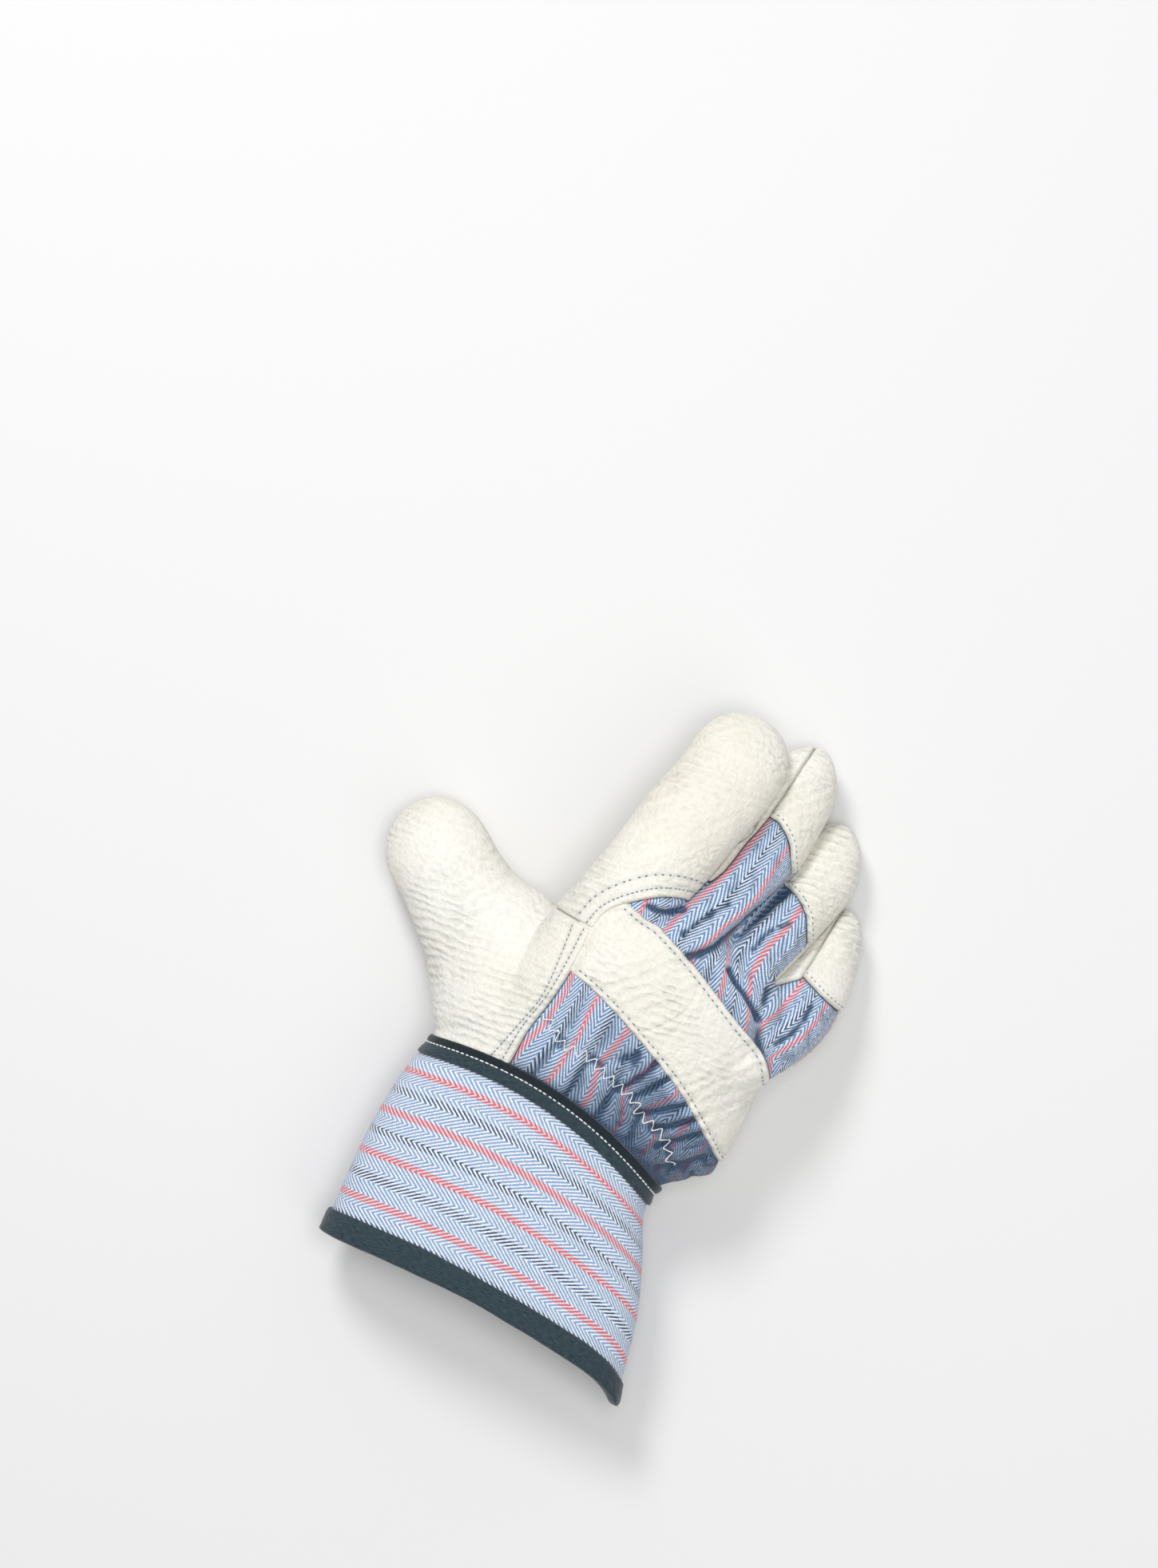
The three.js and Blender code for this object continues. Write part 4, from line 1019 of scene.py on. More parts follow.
def relief(co, s):
    """How far the gathered and creased cloth stands out, in millimetres."""
    x, y = co[:, 0], co[:, 1]
    over = y - np.interp(x, zigzag_line[:, 0], zigzag_line[:, 1])
    window = smooth(s, 2.0, 9.0) * smooth(x, -24, -14)
    window = window * np.exp(-((y - GATHER["middle"]) / GATHER["reach"]) ** 2)
    fan = smooth(x, 8, 28)
    diagonal = (x - y * fan) / np.sqrt(1 + fan)
    puff = GATHER["puff"] * np.cos(2 * np.pi * x / GATHER["pitch"] + 0.6) * (1 - fan)
    wide, tall = GATHER["fold_size"]
    folds = noise(np.stack([diagonal / wide, y / tall, 0 * x], 1), 3)
    wide, tall = GATHER["small_size"]
    small = noise(np.stack([x / wide, y / tall, 0 * x + 9], 1), 8) * np.exp(-(over / 6) ** 2)
    dip = GATHER["dip"] * np.exp(-(over / GATHER["dip_width"]) ** 2)
    folds = (GATHER["fold"] + GATHER["fan_fold"] * fan) * folds
    height = window * (puff + folds + GATHER["small"] * small - dip + GATHER["lift"])
    beyond = smooth(y + STRAP_SLOPE * x, 76, 92)
    slant = np.stack([x / 5.5 + y / 9, y / 12 - x / 16, co[:, 2] / 10], 1)
    height += beyond * (0.8 * noise(slant, 11) + 0.4 * noise(slant * 2.1, 12))
    for depth, width, line in CREASES:
        line = spline(line, 2.0)
        near = (np.abs(co[:, :2] - line.mean(0)) < CREASE_REACH).all(1)
        off = line_distance(line, co[near, :2])
        groove, shoulder = np.exp(-(off / width) ** 2), np.exp(-(off / (SHOULDER_WIDTH * width)) ** 2)
        height[near] -= GROOVE * depth * groove - SHOULDER * depth * shoulder
    return height


# %% [markdown]
# ## Cloth of the back
#
# One sheet covers the back of the hand and three fingers, and the leather is sewn over its edges. It could
# be a plane with a cloth modifier. Cutting it out of the common form is surer, since it then lies snugly
# under every piece. It runs on for 3 mm under the leather, lowered there so that it never shows through.

# %% Cut the sheet
# How far the cloth runs on under the leather, under the binding and past the side seam, and how low there
UNDER, UNDER_BINDING, PAST_SIDE = 3.0, 3.0, 1.0
TUCKED = 1.3
cloth_field = np.min([
    form["side"] + PAST_SIDE,
    UNDER - form["thumb"],
    UNDER - form["index_hides"],
    form["s"] + UNDER_BINDING,
    UNDER - form["caps_hide"],
], axis=0)
cloth = form.cut(cloth_field)
x, y = cloth["co"][:, 0], cloth["co"][:, 1]
fold = relief(cloth["co"], cloth["s"])
strap_inside = outline_depth(strap_outline, cloth["co"][:, :2])
under_strap = smooth(strap_inside, -0.5, 2.0)
fold = np.where(fold > 0, fold * (1 - under_strap), fold)
bare = np.min([-cloth["thumb"], -cloth["index_hides"], cloth["side"]], axis=0)
fold = fold * smooth(bare, -1, 4) * smooth(-cloth["caps_hide"], -0.5, 1.2)
bare = np.minimum(bare, -cloth["caps_hide"])
fold = fold - TUCKED * smooth(-bare, -0.9, 0.3)
cloth["co"] = cloth["co"] + cloth["normal"] * fold[:, None]
print("folds from", fold.min().round(1), "to", fold.max().round(1), "mm")

# %% [markdown]
# In the deep folds the cloth looks dark navy, more than a soft light alone would make it. So each vertex
# gets a share of shade: in the valleys, beside the binding, the strap and the caps, between the fingers,
# and more towards the little finger's side.

# %% Shade and make the sheet
# How dark the cloth gets beside each thing, from 0 to 1
SHADE = {"binding": 0.6, "strap": 0.35, "cap": 0.5, "little_side": 0.62, "between_fingers": 0.6,
         "most": 0.88}
level = relax(fold[:, None], cloth.tris, 40)[:, 0]
below_strap = 1 - smooth(y + STRAP_SLOPE * x, 44, 50)
valley = np.clip((level - fold) / 0.7, 0, 0.85) + np.clip(-fold / 3.5, 0, 0.4) * (0.5 + 0.5 * below_strap)
beside_binding = SHADE["binding"] * np.exp(-np.maximum(cloth["s"] - 4.5, 0) / 2.5)
beside_strap = SHADE["strap"] * np.exp(np.minimum(strap_inside, 0) / 1.8) * smooth(x, 0, 22)
beside_cap = SHADE["cap"] * np.exp(-np.maximum(-cloth["caps_hide"], 0) / 0.8)
region = below_strap * SHADE["little_side"] * smooth(x, -8, 34)
valley = valley * (0.6 + 0.4 * np.maximum(smooth(x, -6, 22), 1 - below_strap))
between_fingers = SHADE["between_fingers"] * cloth["valley"]
cloth_shade = valley + beside_binding + beside_strap + beside_cap + region + between_fingers
cloth_shade = np.clip(cloth_shade, 0, SHADE["most"])
print("shade of the cloth, mean", round(float(cloth_shade.mean()), 2))
back_cloth = make_object("back_cloth_sheet", cloth["co"], cloth.tris, shaded_back_paint,
                         uv=cloth["weave"], shade=cloth_shade)
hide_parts("back_cloth")
print("cloth", len(cloth.tris), "triangles")

# %% [markdown]
# ## Leather pieces
#
# Each piece stands over the cloth, and its edge rolls down in a quarter round, so that two pieces meet in
# the groove of a seam. A solidify modifier with a bevel would give square edges of one height. Working the
# height out from the distance to the seam lets the edge roll, the stitches draw the leather in, and the
# middle of a piece stay soft and uneven.

# %% Rows of stitches that draw the leather in
ROWS = {
    "thumb_outer": [(-25.3, 67.5), (-23.1, 53.3), (-21.9, 39.1), (-24, 26), (-27, 10.9), (-27.6, 3.4)],
    "thumb_inner": [(-21, 68), (-20.3, 51.4), (-20.6, 39.3), (-22.6, 25), (-22.8, 10), (-22.6, 4.2)],
    "index_inner": [(-21.3, 69.6), (-19.4, 78), (-13.4, 86.3), (-4.6, 94), (5.5, 98.4), (12, 99)],
    "index_outer": [(-25.3, 70.3), (-23.3, 79.5), (-17, 89.2), (-7.9, 97.6), (3.2, 102.4), (12, 103.2)],
}
ROW_LINES = {name: spline(points, 1.0) for name, points in ROWS.items()}
print("rows", {name: len(line) for name, line in ROW_LINES.items()})


# %% Rolled edge and wrinkles
CREASE_WIDTH = 0.07
EDGE_SHADE, STITCH_SHADE = 0.34, 0.16


def rolled(depth, radius):
    """The height of a quarter round edge, from 0 at the seam to 1 at its radius."""
    return np.sqrt(np.clip(1 - (1 - np.clip(depth / radius, 0, 1)) ** 2, 0, 1))


def edge_shade(depth, amount=EDGE_SHADE):
    """The darker line in the groove of a seam."""
    return amount * (1 - np.clip(depth / 0.9, 0, 1))


def hide_form(co, broad, fine, stretch, crease, patch, seed):
    """Soft unevenness of the hide, and thin creases in patches of it, in millimetres."""
    soft = broad[0] * noise(co / broad[1], seed) + fine[0] * noise(co / fine[1], seed + 1)
    lines = noise(co @ np.array(stretch), seed + 2)
    in_patches = smooth(noise(co / patch, seed + 3), -0.05, 0.25)
    return soft, -crease * np.exp(-(lines / CREASE_WIDTH) ** 2) * in_patches


# %% A sewn piece
DROP, RISE, EDGE_RADIUS = 0.5, 1.0, 1.5
ROW_WIDTH, ROW_DEPTH = 0.75, 0.28
HIDE = {"broad": (0.55, 11), "fine": (0.3, 5.2), "crease": 0.35, "patch": 16, "seed": 21,
        "stretch": [(0.25, 0.1, 0.0), (0.12, 0.42, 0.2), (0.0, 0.1, 0.3)]}


def leather_piece(name, field):
    """A sewn piece of leather where the field is above zero, from its signed distance to the edge."""
    form["depth"] = field
    piece = form.cut(field)
    depth, co = piece["depth"], piece["co"]
    soft, creases = hide_form(co, **HIDE)
    height = -DROP + (RISE + DROP) * rolled(depth, EDGE_RADIUS)
    height += smooth(depth, 0.5, 5) * (soft + creases)
    shade = edge_shade(depth)
    for line in ROW_LINES.values():
        near = np.exp(-(line_distance(line, co[:, :2]) / ROW_WIDTH) ** 2) * (piece["side"] > 0)
        height -= ROW_DEPTH * near
        shade = np.maximum(shade, STITCH_SHADE * near)
    piece["co"] = co + piece["normal"] * height[:, None]
    piece["co"][:, 2] = np.maximum(piece["co"][:, 2], 0.0)
    made = make_object(name + "_leather", piece["co"], piece.tris, leather_paint,
                       shade=shade - np.clip(creases, -1, 0) * 0.25)
    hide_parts(name)
    print(name, len(piece.tris), "triangles")
    return piece


# %% Where each piece lies
thumb = form["thumb"]
wrist_end = form["s"] + UNDER_BINDING
fields = {
    "thumb": np.minimum(thumb, wrist_end),
    "index_back": np.min([form["index"], form["side"]], axis=0),
}
for name in ("middle", "ring"):
    fields[name + "_front"] = np.min([
        -form["side"], form["on_" + name] + 0.2, form["hand_out"] - 0.3], axis=0)
fields["palm"] = np.min([
    -form["side"], -thumb, wrist_end, -fields["middle_front"], -fields["ring_front"]], axis=0)
for name in CAPS:
    fields[name + "_tip"] = np.min([form["cap_" + name], form["side"]], axis=0)
skins = {name: leather_piece(name, field) for name, field in fields.items()}

# %% [markdown]
# ## Knuckle strap
#
# A strip of leather guards the knuckles. It is sewn on over the cloth, and its end is tucked under the
# strip of the thumb. A flat strip shrunk onto the surface would hide the puffs of cloth below it, so it is
# cut out of the form too, and its edges follow the folds a little. One bend runs across it.

# %% Knuckle strap
STRAP_BEND = [(15.7, 46.2), (21, 52), (24.9, 59), (25.5, 66), (24.6, 72.6)]
STRAP_HIDE = {"broad": (0.6, 12), "fine": (0.35, 5.0), "crease": 0.4, "patch": 14, "seed": 31,
              "stretch": [(0.16, 0.1, 0.0), (0.14, 0.5, 0.2), (0.0, 0.1, 0.3)]}
STRAP_ROW, STRAP_ROW_DEPTH, STRAP_TUCK, STRAP_SIDE = 2.6, 0.3, 2.0, 0.5
STRAP_DROP, STRAP_RISE, TUCK_RISE, STRAP_RADIUS = 0.6, 0.8, 1.4, 1.4
# Height and width of the bend's ridge, and of the groove along it
RIDGE, RIDGE_WIDTH = 0.45, 3.2
BEND_GROOVE, BEND_WIDTH = 0.5, 0.9
form["strap"] = outline_depth(strap_outline, plan)
strap = form.cut(np.min([
    form["strap"],
    form["side"] + STRAP_SIDE,
    STRAP_TUCK - form["thumb"],
    STRAP_TUCK - form["index"],
], axis=0))
co = strap["co"]
depth = np.minimum(strap["strap"], strap["side"] + STRAP_SIDE)
tuck = smooth(-np.maximum(strap["thumb"], strap["index"]), 0.0, 4.0)
lift = np.maximum(relief(co, strap["s"]), -0.6) * np.exp(-np.clip(depth, 0, None) / 2.5) * 0.8
lift = lift * smooth(strap["side"], 3, 14)
bend = line_distance(spline(STRAP_BEND), co[:, :2])
soft, creases = hide_form(co, **STRAP_HIDE)
stitch_line = np.exp(-((depth - STRAP_ROW) / 0.7) ** 2)
height = -STRAP_DROP + (STRAP_RISE + TUCK_RISE * tuck) * rolled(depth, STRAP_RADIUS) + lift
height += RIDGE * np.exp(-(bend / RIDGE_WIDTH) ** 2) - BEND_GROOVE * np.exp(-(bend / BEND_WIDTH) ** 2)
height += smooth(depth, 0.5, 5) * (soft + creases) * (0.4 + 0.6 * smooth(strap["side"], 4, 12))
height -= STRAP_ROW_DEPTH * stitch_line * tuck
strap["co"] = co + strap["normal"] * height[:, None]
shade = np.clip(edge_shade(depth) + STITCH_SHADE * stitch_line, 0, 1)
strap_object = make_object("knuckle_strap_leather", strap["co"], strap.tris, leather_paint,
                           shade=shade)
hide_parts("knuckle_strap")
skins["knuckle_strap"] = strap
print("strap", len(strap.tris), "triangles,", height.max().round(1), "mm over the form")

# %% [markdown]
# ## Cuff
#
# The safety cuff is two layers of the striped cloth with a stiffener between, so it keeps its flare and has
# only slight waves. It is one sheet swept round the wrist, out over the hem and back inside. Thickness from
# a modifier would do as well, but the sweep also knows the length round the cuff, which the stripes need.

# %% Sweep round the cuff
COLUMNS = 420


def ring_grid(lengths, offsets):
    """Points and faces of a surface swept round the cuff, with the length round it for the weave."""
    angles = np.pi + 2 * np.pi * np.arange(COLUMNS + 1) / COLUMNS
    rings = cuff_point(lengths[:, None], -angles[None, :], offsets[:, None])
    steps = np.linalg.norm(np.diff(rings, axis=1), axis=2)
    around = np.concatenate([np.zeros((len(rings), 1)), np.cumsum(steps, 1)], 1)
    return rings.reshape(-1, 3), around.ravel(), grid_faces(*rings.shape[:2])


def each_column(values):
    """A value of each ring, for all the points of the ring."""
    return np.repeat(values, COLUMNS + 1)


def face_outwards(co, quads, sample, centre):
    """Vertex normals and faces, turned so that those of the sample point away from the centre."""
    normals = normals_of(co, halves(quads))
    if (normals[sample] * (co[sample] - centre)).sum() < 0:
        return -normals, quads[:, ::-1]
    return normals, quads


def cuff_waves(co, wave=0.9, ripple=0.25):
    """Slight waves of the stiff cuff, less near the wrist seam."""
    fall = smooth(-co[:, 1], 5, 60)
    return fall * (wave * noise(co / np.array([34, 60, 40]), 41) + ripple * noise(co / 9, 42))


# %% Cuff
STRIPE_START = 12.3
FLOOR_GAP = 0.6
# The outside has a ring at each step, and the inside at every third
RING_STEP, INNER_EVERY = 0.8, 3
outer = np.arange(-1.0, CUFF_LENGTH + 0.01, RING_STEP)
inner = outer[::-1][::INNER_EVERY]
lengths = np.concatenate([outer, inner])
offsets = np.concatenate([np.zeros_like(outer), np.full_like(inner, -CLOTH)])
co, around, quads = ring_grid(np.maximum(lengths, 0.0), offsets)
outward, quads = face_outwards(co, quads, slice(0, COLUMNS), co[:COLUMNS].mean(0))
layer_side = each_column(np.where(offsets < -0.1, -1.0, 1.0))
co = co + outward * (cuff_waves(co) * layer_side)[:, None]
co[:, 2] = np.maximum(co[:, 2], FLOOR_GAP)
weave_uv = np.stack([each_column((lengths - STRIPE_START) / STRIPE_PITCH), around], 1)
cuff = make_object("cuff_cloth", co, quads, cuff_paint, uv=weave_uv,
                   shade=np.zeros(len(co)))
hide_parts("cuff")
print("cuff", len(quads), "faces, hem", co[:, 0].max().round(1) - co[:, 0].min().round(1), "mm wide")

# %% [markdown]
# ## Binding and hem
#
# Dark woven tape covers the seam between hand and cuff, and wraps the open edge. A curve with a bevel object
# could carry the tape, but it would cut through the cuff where that bends. The profile of each tape is
# given as lengths and heights on the cuff instead, and swept round it, so it sits on the cloth all the way.

# %% Tape helper
def band(profile, ruffle):
    """A tape swept round the cuff along a closed profile of lengths and offsets."""
    profile = np.asarray(profile, float)
    closed = spline(np.vstack([profile, profile[:1]]), 0.4)
    co, around, quads = ring_grid(closed[:, 0], closed[:, 1])
    outward, quads = face_outwards(co, quads, slice(None), co.mean(0))
    lengths = each_column(closed[:, 0])
    outside = each_column(closed[:, 1] > GAP + 0.6)
    ripple = ruffle * noise(np.stack([around / 5, lengths / 2.5, co[:, 2] / 30], 1), 51)
    co = co + outward * (ripple * outside + cuff_waves(co))[:, None]
    co[:, 2] = np.maximum(co[:, 2], 0.0)
    return co, quads, np.stack([lengths, around], 1)


# %% Binding over the wrist seam
edge = BINDING_BAND / 2
co, quads, uv = band([
    (-edge, 0.3), (-edge + 0.3, 1.1), (-edge + 1.5, 1.6), (-1.2, 1.45), (-0.8, 0.95), (-0.3, 1.4),
    (edge - 1.5, 1.5), (edge - 0.2, 1.2), (edge, 0.5), (edge - 0.4, -0.3), (-edge + 0.4, -0.3),
], 0.25)
shade = smooth(-uv[:, 0], 0.6, 1.2) * 0.75
binding = make_object("wrist_binding_tape", co, quads, tape_paint, uv=uv, shade=shade)
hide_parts("wrist_binding")
print("binding", len(quads), "faces")

# %% Tape round the hem
start, stop = CUFF_LENGTH - HEM_BAND, CUFF_LENGTH + TAPE
co, quads, uv = band([
    (start, 0.2), (start + 0.2, 1.0), (start + 1.4, 1.5), (start + 4, 1.7), (stop - 1.6, 1.7),
    (stop - 0.3, 1.2), (stop, -0.6), (stop - 0.3, -2.2), (stop - 1.5, -2.9), (start + 2, -2.9),
    (start + 0.2, -2.4), (start, -1.4),
], 0.3)
hem = make_object("cuff_hem_tape", co, quads, tape_paint, uv=uv, shade=np.zeros(len(co)))
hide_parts("cuff_hem")
print("hem", len(quads), "faces")

# %% [markdown]
# ## Patch over the pulse
#
# A double strip of the same leather is sewn over the wrist seam on the palm side, where the pulse lies. It
# faces the floor, so it could be left plain, but the part is turned over in other scenes. It is a grid laid
# on the cuff's underside and cut along the patch's outline, as the other pieces are.

# %% Outline of the patch
PATCH_START, PATCH_END, PATCH_LENGTH, PATCH_CORNER = -0.31, 0.44, 30.0, 7.0
slope = (WRIST_BOW[2] - WRIST_BOW[0]) * HAND_LENGTH / WRIST_WIDTH
left, right = PATCH_START * WRIST_WIDTH, PATCH_END * WRIST_WIDTH
top = WRIST_BOW[3] * HAND_LENGTH + slope * left + edge + GAP
fall = slope * (right - left)
turns = np.linspace(0, np.pi / 2, 8)
low_edge = top - PATCH_LENGTH
corner = [(left + PATCH_CORNER * (1 - np.sin(t)), low_edge + PATCH_CORNER * (1 - np.cos(t))) for t in turns]
patch_outline = [(left, top), (right, top + fall), (right, low_edge + fall), *corner]
print("patch from", round(left, 1), "to", round(right, 1), "mm across")

# %% Patch
PATCH_DROP, PATCH_RISE = 0.6, 2.2
patch_lengths = np.arange(-18, 46, RING_STEP)
patch_angles = np.linspace(np.pi, 2 * np.pi, 260)
points = cuff_point(patch_lengths[:, None], patch_angles[None, :], GAP)
under = Patch(halves(grid_faces(*points.shape[:2])), co=points.reshape(-1, 3))
under["normal"] = under.normals()
if under["normal"][:, 2].sum() > 0:
    under.tris = under.tris[:, ::-1].copy()
    under["normal"] = -under["normal"]
under["depth"] = outline_depth(patch_outline, under["co"][:, :2])
sewn = under.cut(under["depth"])
height = -PATCH_DROP + PATCH_RISE * rolled(sewn["depth"], EDGE_RADIUS)
sewn["co"] = sewn["co"] + sewn["normal"] * height[:, None]
sewn["co"][:, 2] = np.maximum(sewn["co"][:, 2], 0.0)
patch_object = make_object("pulse_patch_leather", sewn["co"], sewn.tris, leather_paint,
                           shade=edge_shade(sewn["depth"], 0.3))
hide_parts("pulse_patch")
print("patch", len(sewn.tris), "triangles")

# %% [markdown]
# ## Stitches
#
# Each stitch is a bit of thread that comes out of one hole and dives into the next. Instances on a curve
# would be the usual way, but they would have to be made real for the export. So one short capsule with
# dipping ends is copied along each row, laid on the surface by rays from above, with a slight scatter in
# place and length.

# %% One stitch
def capsule(count=8, rings=7):
    """A unit stitch along X: a thread whose ends dip down."""
    t = np.linspace(-1, 1, rings)
    radius = np.sqrt(np.clip(1 - np.abs(t) ** 3, 0, 1))
    turn = 2 * np.pi * np.arange(count) / count
    co = np.stack([
        np.repeat(t, count),
        (radius[:, None] * np.cos(turn)).ravel(),
        (radius[:, None] * np.sin(turn)).ravel() - np.repeat(0.9 * t**4, count),
    ], 1)
    return co, grid_faces(rings, count, closed=True)[:, ::-1]


UNIT, UNIT_FACES = capsule()
print("one stitch", len(UNIT_FACES), "faces")


# %% A row of stitches
def row_of(spots, normals, pitch, length, radius, lift=0.1, jitter=0.08):
    """Points and faces of stitches along a path of points with normals."""
    run = run_along(spots)
    centres = np.arange(pitch / 2, run[-1], pitch)
    centres = centres + rng.normal(size=len(centres)) * jitter * pitch

    def at(where, values):
        return np.stack([np.interp(where, run, values[:, k]) for k in range(3)], 1)

    ahead, behind = at(centres + length / 2, spots), at(centres - length / 2, spots)
    middle = (at(centres, spots) + (ahead + behind) / 2) / 2
    facing = at(centres, normals)
    points, faces = [], []
    for k, x in enumerate(ahead - behind):
        size = np.linalg.norm(x)
        if size < 0.2 * length:
            continue
        x = x / size
        y = np.cross(facing[k], x)
        y /= max(np.linalg.norm(y), 1e-9)
        z = np.cross(x, y)
        scale = 1 + 0.1 * rng.normal()
        local = UNIT * np.array([length / 2 * scale, radius, radius])
        faces.append(UNIT_FACES + len(points) * len(UNIT))
        points.append(middle[k] + z * lift + local @ np.stack([x, y, z]))
    return np.vstack(points), np.vstack(faces)


def run_along(line):
    """The length along a line at each of its points."""
    return np.concatenate([[0], np.cumsum(np.linalg.norm(np.diff(line, axis=0), axis=1))])


# %% Rows joined into one thread object
def gather_threads(name, rows, material):
    """Joins rows of stitches into one object."""
    firsts = np.cumsum([0] + [len(co) for co, _ in rows])
    faces = np.vstack([part + first for (_, part), first in zip(rows, firsts)])
    print(name, len(faces), "faces")
    return make_object(name, np.vstack([co for co, _ in rows]), faces, material)


def drop_onto(tree, line, from_above=True):
    """Follows a plan line over a surface: points and normals where a ray meets it."""
    height, way = (150.0, -1.0) if from_above else (-50.0, 1.0)
    spots, normals = [], []
    for x, y in line:
        hit, normal, _, _ = tree.ray_cast(Vector((x, y, height)), Vector((0, 0, way)))
        if hit is not None:
            spots.append(hit[:])
            normals.append((normal if normal.z * way < 0 else -normal)[:])
    return np.array(spots), np.array(normals)


def sideways(line):
    """Unit vectors to the right of a plan line."""
    way = np.gradient(line, axis=0)
    way /= np.linalg.norm(way, axis=1)[:, None]
    return np.stack([way[:, 1], -way[:, 0]], 1)


def inset(line, amount):
    """A plan line moved to its right by an amount."""
    line = spline(line, 0.4)
    return line + amount * sideways(line)


# %% Slate stitches in the leather
BORDER = 2.4
top_row, bottom_row = inset(STRAP_TOP, BORDER), inset(STRAP_BOTTOM, BORDER)
patch_loop = np.vstack([patch_outline, patch_outline[:1]])
patch_rows = [inset(patch_loop[k:k + 2], BORDER)[4:-4] for k in (0, 1, 2)]
patch_rows.append(inset(patch_loop[3:], BORDER))
# Each row: the piece that it is sewn on, its line, and the pitch, length and radius of its stitches
SLATE_ROWS = [
    ("thumb", spline(ROWS["thumb_outer"], 0.4), (1.85, 1.15, 0.2)),
    ("thumb", spline(ROWS["thumb_inner"], 0.4), (1.85, 1.15, 0.2)),
    ("index_back", spline(ROWS["index_inner"], 0.4), (1.8, 1.2, 0.2)),
    ("index_back", spline(ROWS["index_outer"], 0.4), (2.9, 1.2, 0.26)),
    ("knuckle_strap", top_row[top_row[:, 0] > -13], (2.75, 1.35, 0.23)),
    ("knuckle_strap", bottom_row[bottom_row[:, 0] > -15], (2.75, 1.35, 0.23)),
    *[(name + "_tip", inset(CAPS[name], -1.8), (2.2, 1.1, 0.2)) for name in FINGERS],
    *[("pulse_patch", row, (2.75, 1.35, 0.23)) for row in patch_rows],
]
skins["pulse_patch"] = sewn
trees = {name: skin.tree() for name, skin in skins.items()}
slate_rows = [row_of(*drop_onto(trees[name], line, name != "pulse_patch"), *sizes)
              for name, line, sizes in SLATE_ROWS]
slate = gather_threads("leather_stitches", slate_rows, slate_thread)

# %% White stitches in the binding
angles = np.linspace(np.pi, -np.pi, 1400)
binding_path = cuff_point(-0.8, angles, 1.15)
binding_normal = cuff_point(-0.8, angles, 2.15) - binding_path
binding_rows = [row_of(binding_path, binding_normal, 2.0, 1.6, 0.29, 0.12, 0.04)]
binding_stitches = gather_threads("binding_stitches", binding_rows, white_thread)

# %% [markdown]
# The zigzag over the gathers is one white thread that turns back every few millimetres. Its path swings to
# both sides of the seam's line before it is laid on the cloth, and then it is sewn like the other rows.

# %% Zigzag thread
SWING, TURN_LENGTH = 1.9, 4.4
line = spline(ZIGZAG, 0.25)
swing = SWING * (4 * np.abs((run_along(line) / TURN_LENGTH) % 1 - 0.5) - 1)
zigzag = line + swing[:, None] * sideways(line)
zigzag_rows = [row_of(*drop_onto(cloth.tree(), zigzag), 1.05, 1.3, 0.24, 0.25, 0.02)]
zigzag_threads = gather_threads("zigzag_thread", zigzag_rows, white_thread)

# %% [markdown]
# ## Sheets of cloth
#
# The back is cut as one piece and gathered at the wrist. The cuff is cut twice as long as it is deep and
# folded double at the hem. A simulation or a pattern maker needs these flat sizes. The areas of the meshes
# are printed.

# %% Sheets of cloth
def cloth_area(made):
    """Area of a mesh in square metres."""
    return sum(face.area for face in made.data.polygons)


print("cloth areas", round(cloth_area(back_cloth), 4), round(cloth_area(cuff), 4), "square metres")

# %% [markdown]
# ## Floor, light and camera
#
# The glove lies on a pale floor in soft light from above and from the upper left. Large lamps give soft
# shadows, and a bright world fills them. A long lens far above looks straight down, as a product picture is
# taken, so that nothing is drawn out of shape, and it is turned so that the cuff points to the lower left.

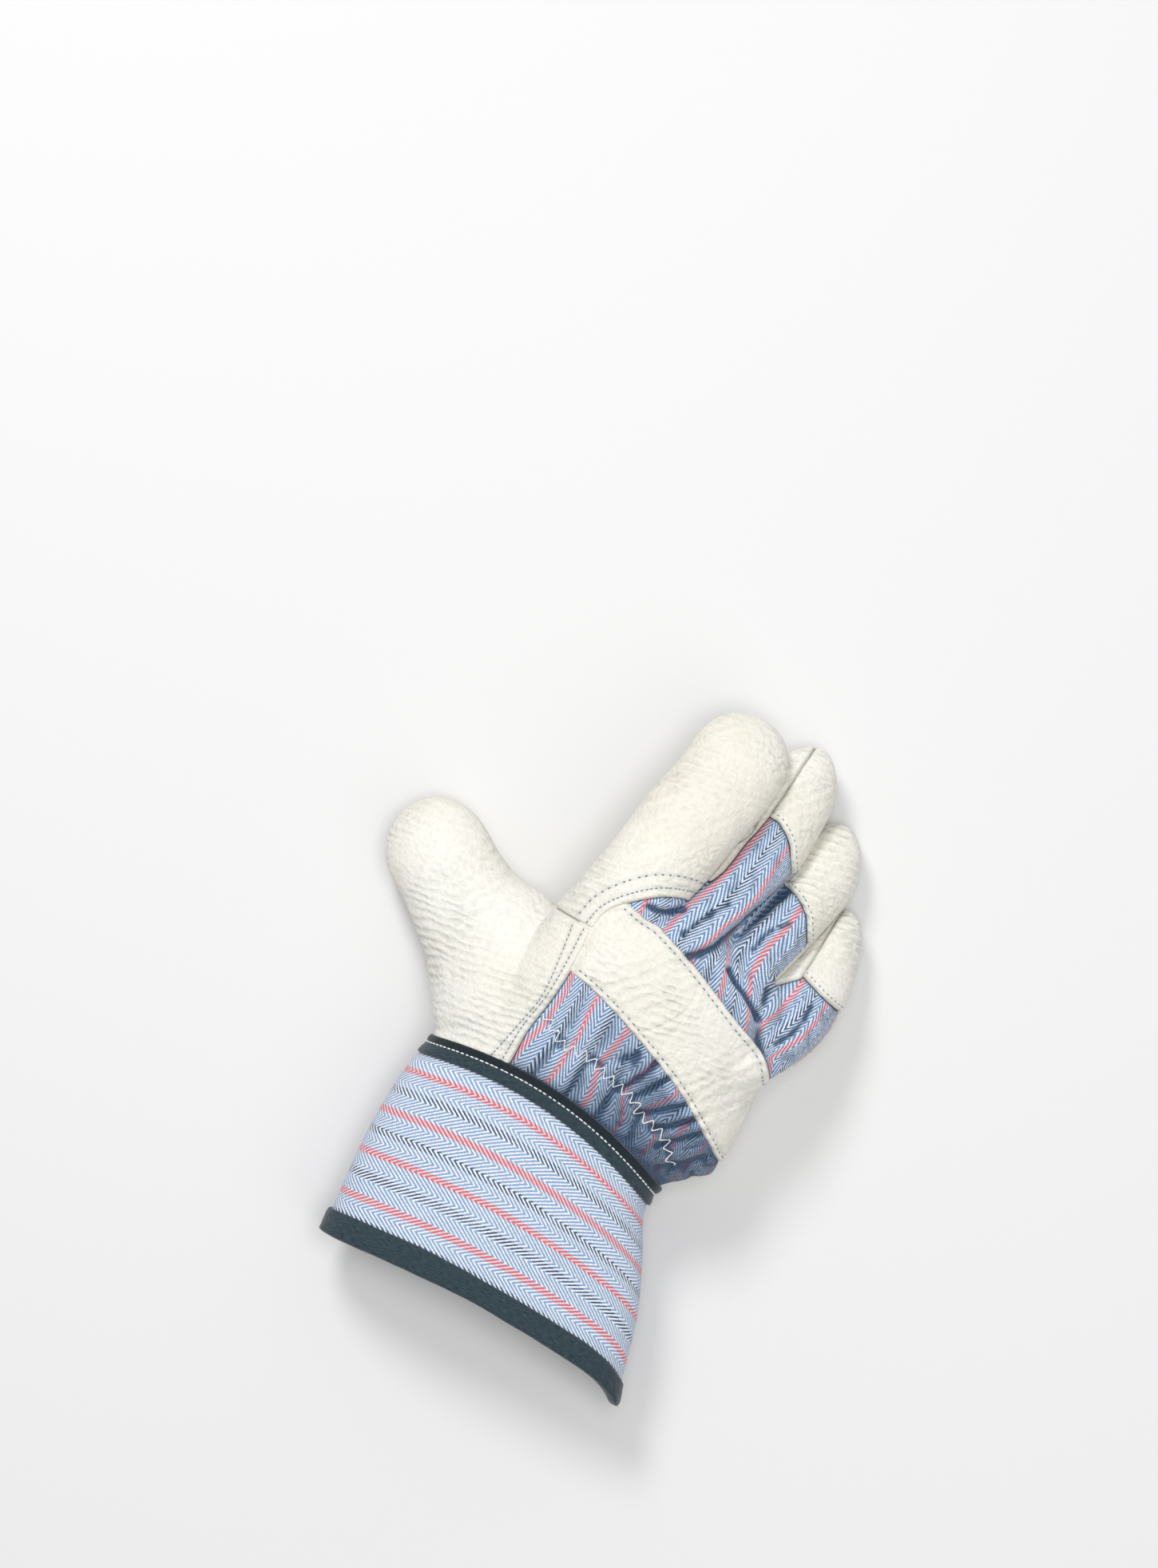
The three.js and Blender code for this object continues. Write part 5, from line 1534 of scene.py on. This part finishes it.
# %% Floor
floor_paint = Paint("pale_floor", Roughness=0.8, Specular_IOR_Level=0.1)
floor_paint.finish((0.8, 0.8, 0.8))
bpy.ops.mesh.primitive_plane_add(size=6, location=(0, 0, -0.0002))
floor = bpy.context.object
floor.name = "floor"
floor.data.materials.append(floor_paint.material)
floor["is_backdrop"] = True
print("floor", floor.name)

# %% Lights
# Each lamp's place and size in metres, and its power in watts
LAMPS = {
    "key": ((-0.95, 0.8, 1.3), 0.55, 14.5),
    "fill": ((0.9, -0.3, 1.2), 1.2, 3.0),
    "top": ((0.15, 0.1, 1.9), 0.9, 13.5),
}
WORLD_STRENGTH = 0.37
for name, (place, size, power) in LAMPS.items():
    lamp = bpy.data.lights.new(name, "AREA")
    lamp.shape, lamp.size, lamp.energy = "DISK", size, power
    made = bpy.data.objects.new(name, lamp)
    bpy.context.scene.collection.objects.link(made)
    made.location = place
    made.rotation_mode = "QUATERNION"
    made.rotation_quaternion = (-Vector(place)).to_track_quat("-Z", "Y")
world = bpy.data.worlds.new("studio")
bpy.context.scene.world = world
world.use_nodes = True
background = world.node_tree.nodes["Background"]
background.inputs["Color"].default_value = (1, 1, 1, 1)
background.inputs["Strength"].default_value = WORLD_STRENGTH
print("lights", len(bpy.data.lights))

# %% Camera
PIXEL, PHOTO_HEIGHT = 0.29, 1963
CENTRE = np.array([-48.5, 111.8, 0.0]) + SHIFT
DISTANCE, ABOVE_FLOOR = 2.5, 0.03
TURN = np.radians(30)
lens = bpy.data.cameras.new("camera")
lens.sensor_fit = "AUTO"
lens.sensor_width = 36.0
lens.lens = lens.sensor_width / 2 / (PHOTO_HEIGHT * PIXEL * MM / 2 / DISTANCE)
lens.clip_start, lens.clip_end = 0.1, 20.0
camera = bpy.data.objects.new("camera", lens)
bpy.context.scene.collection.objects.link(camera)
place = Vector((CENTRE[0] * MM, CENTRE[1] * MM, DISTANCE + ABOVE_FLOOR))
camera.matrix_world = Matrix.Translation(place) @ Matrix.Rotation(TURN, 4, "Z")
bpy.context.scene.camera = camera
bpy.context.scene.view_settings.view_transform = "Standard"
print("lens", round(lens.lens, 1), "mm")

# %% [markdown]
# ## Size
#
# The box of the dressed glove is found here. It should agree with that of the solids within a millimetre
# or so, since the looks only round and wrinkle what the solids give.

# %% Sizes of the dressed glove
low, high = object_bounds()
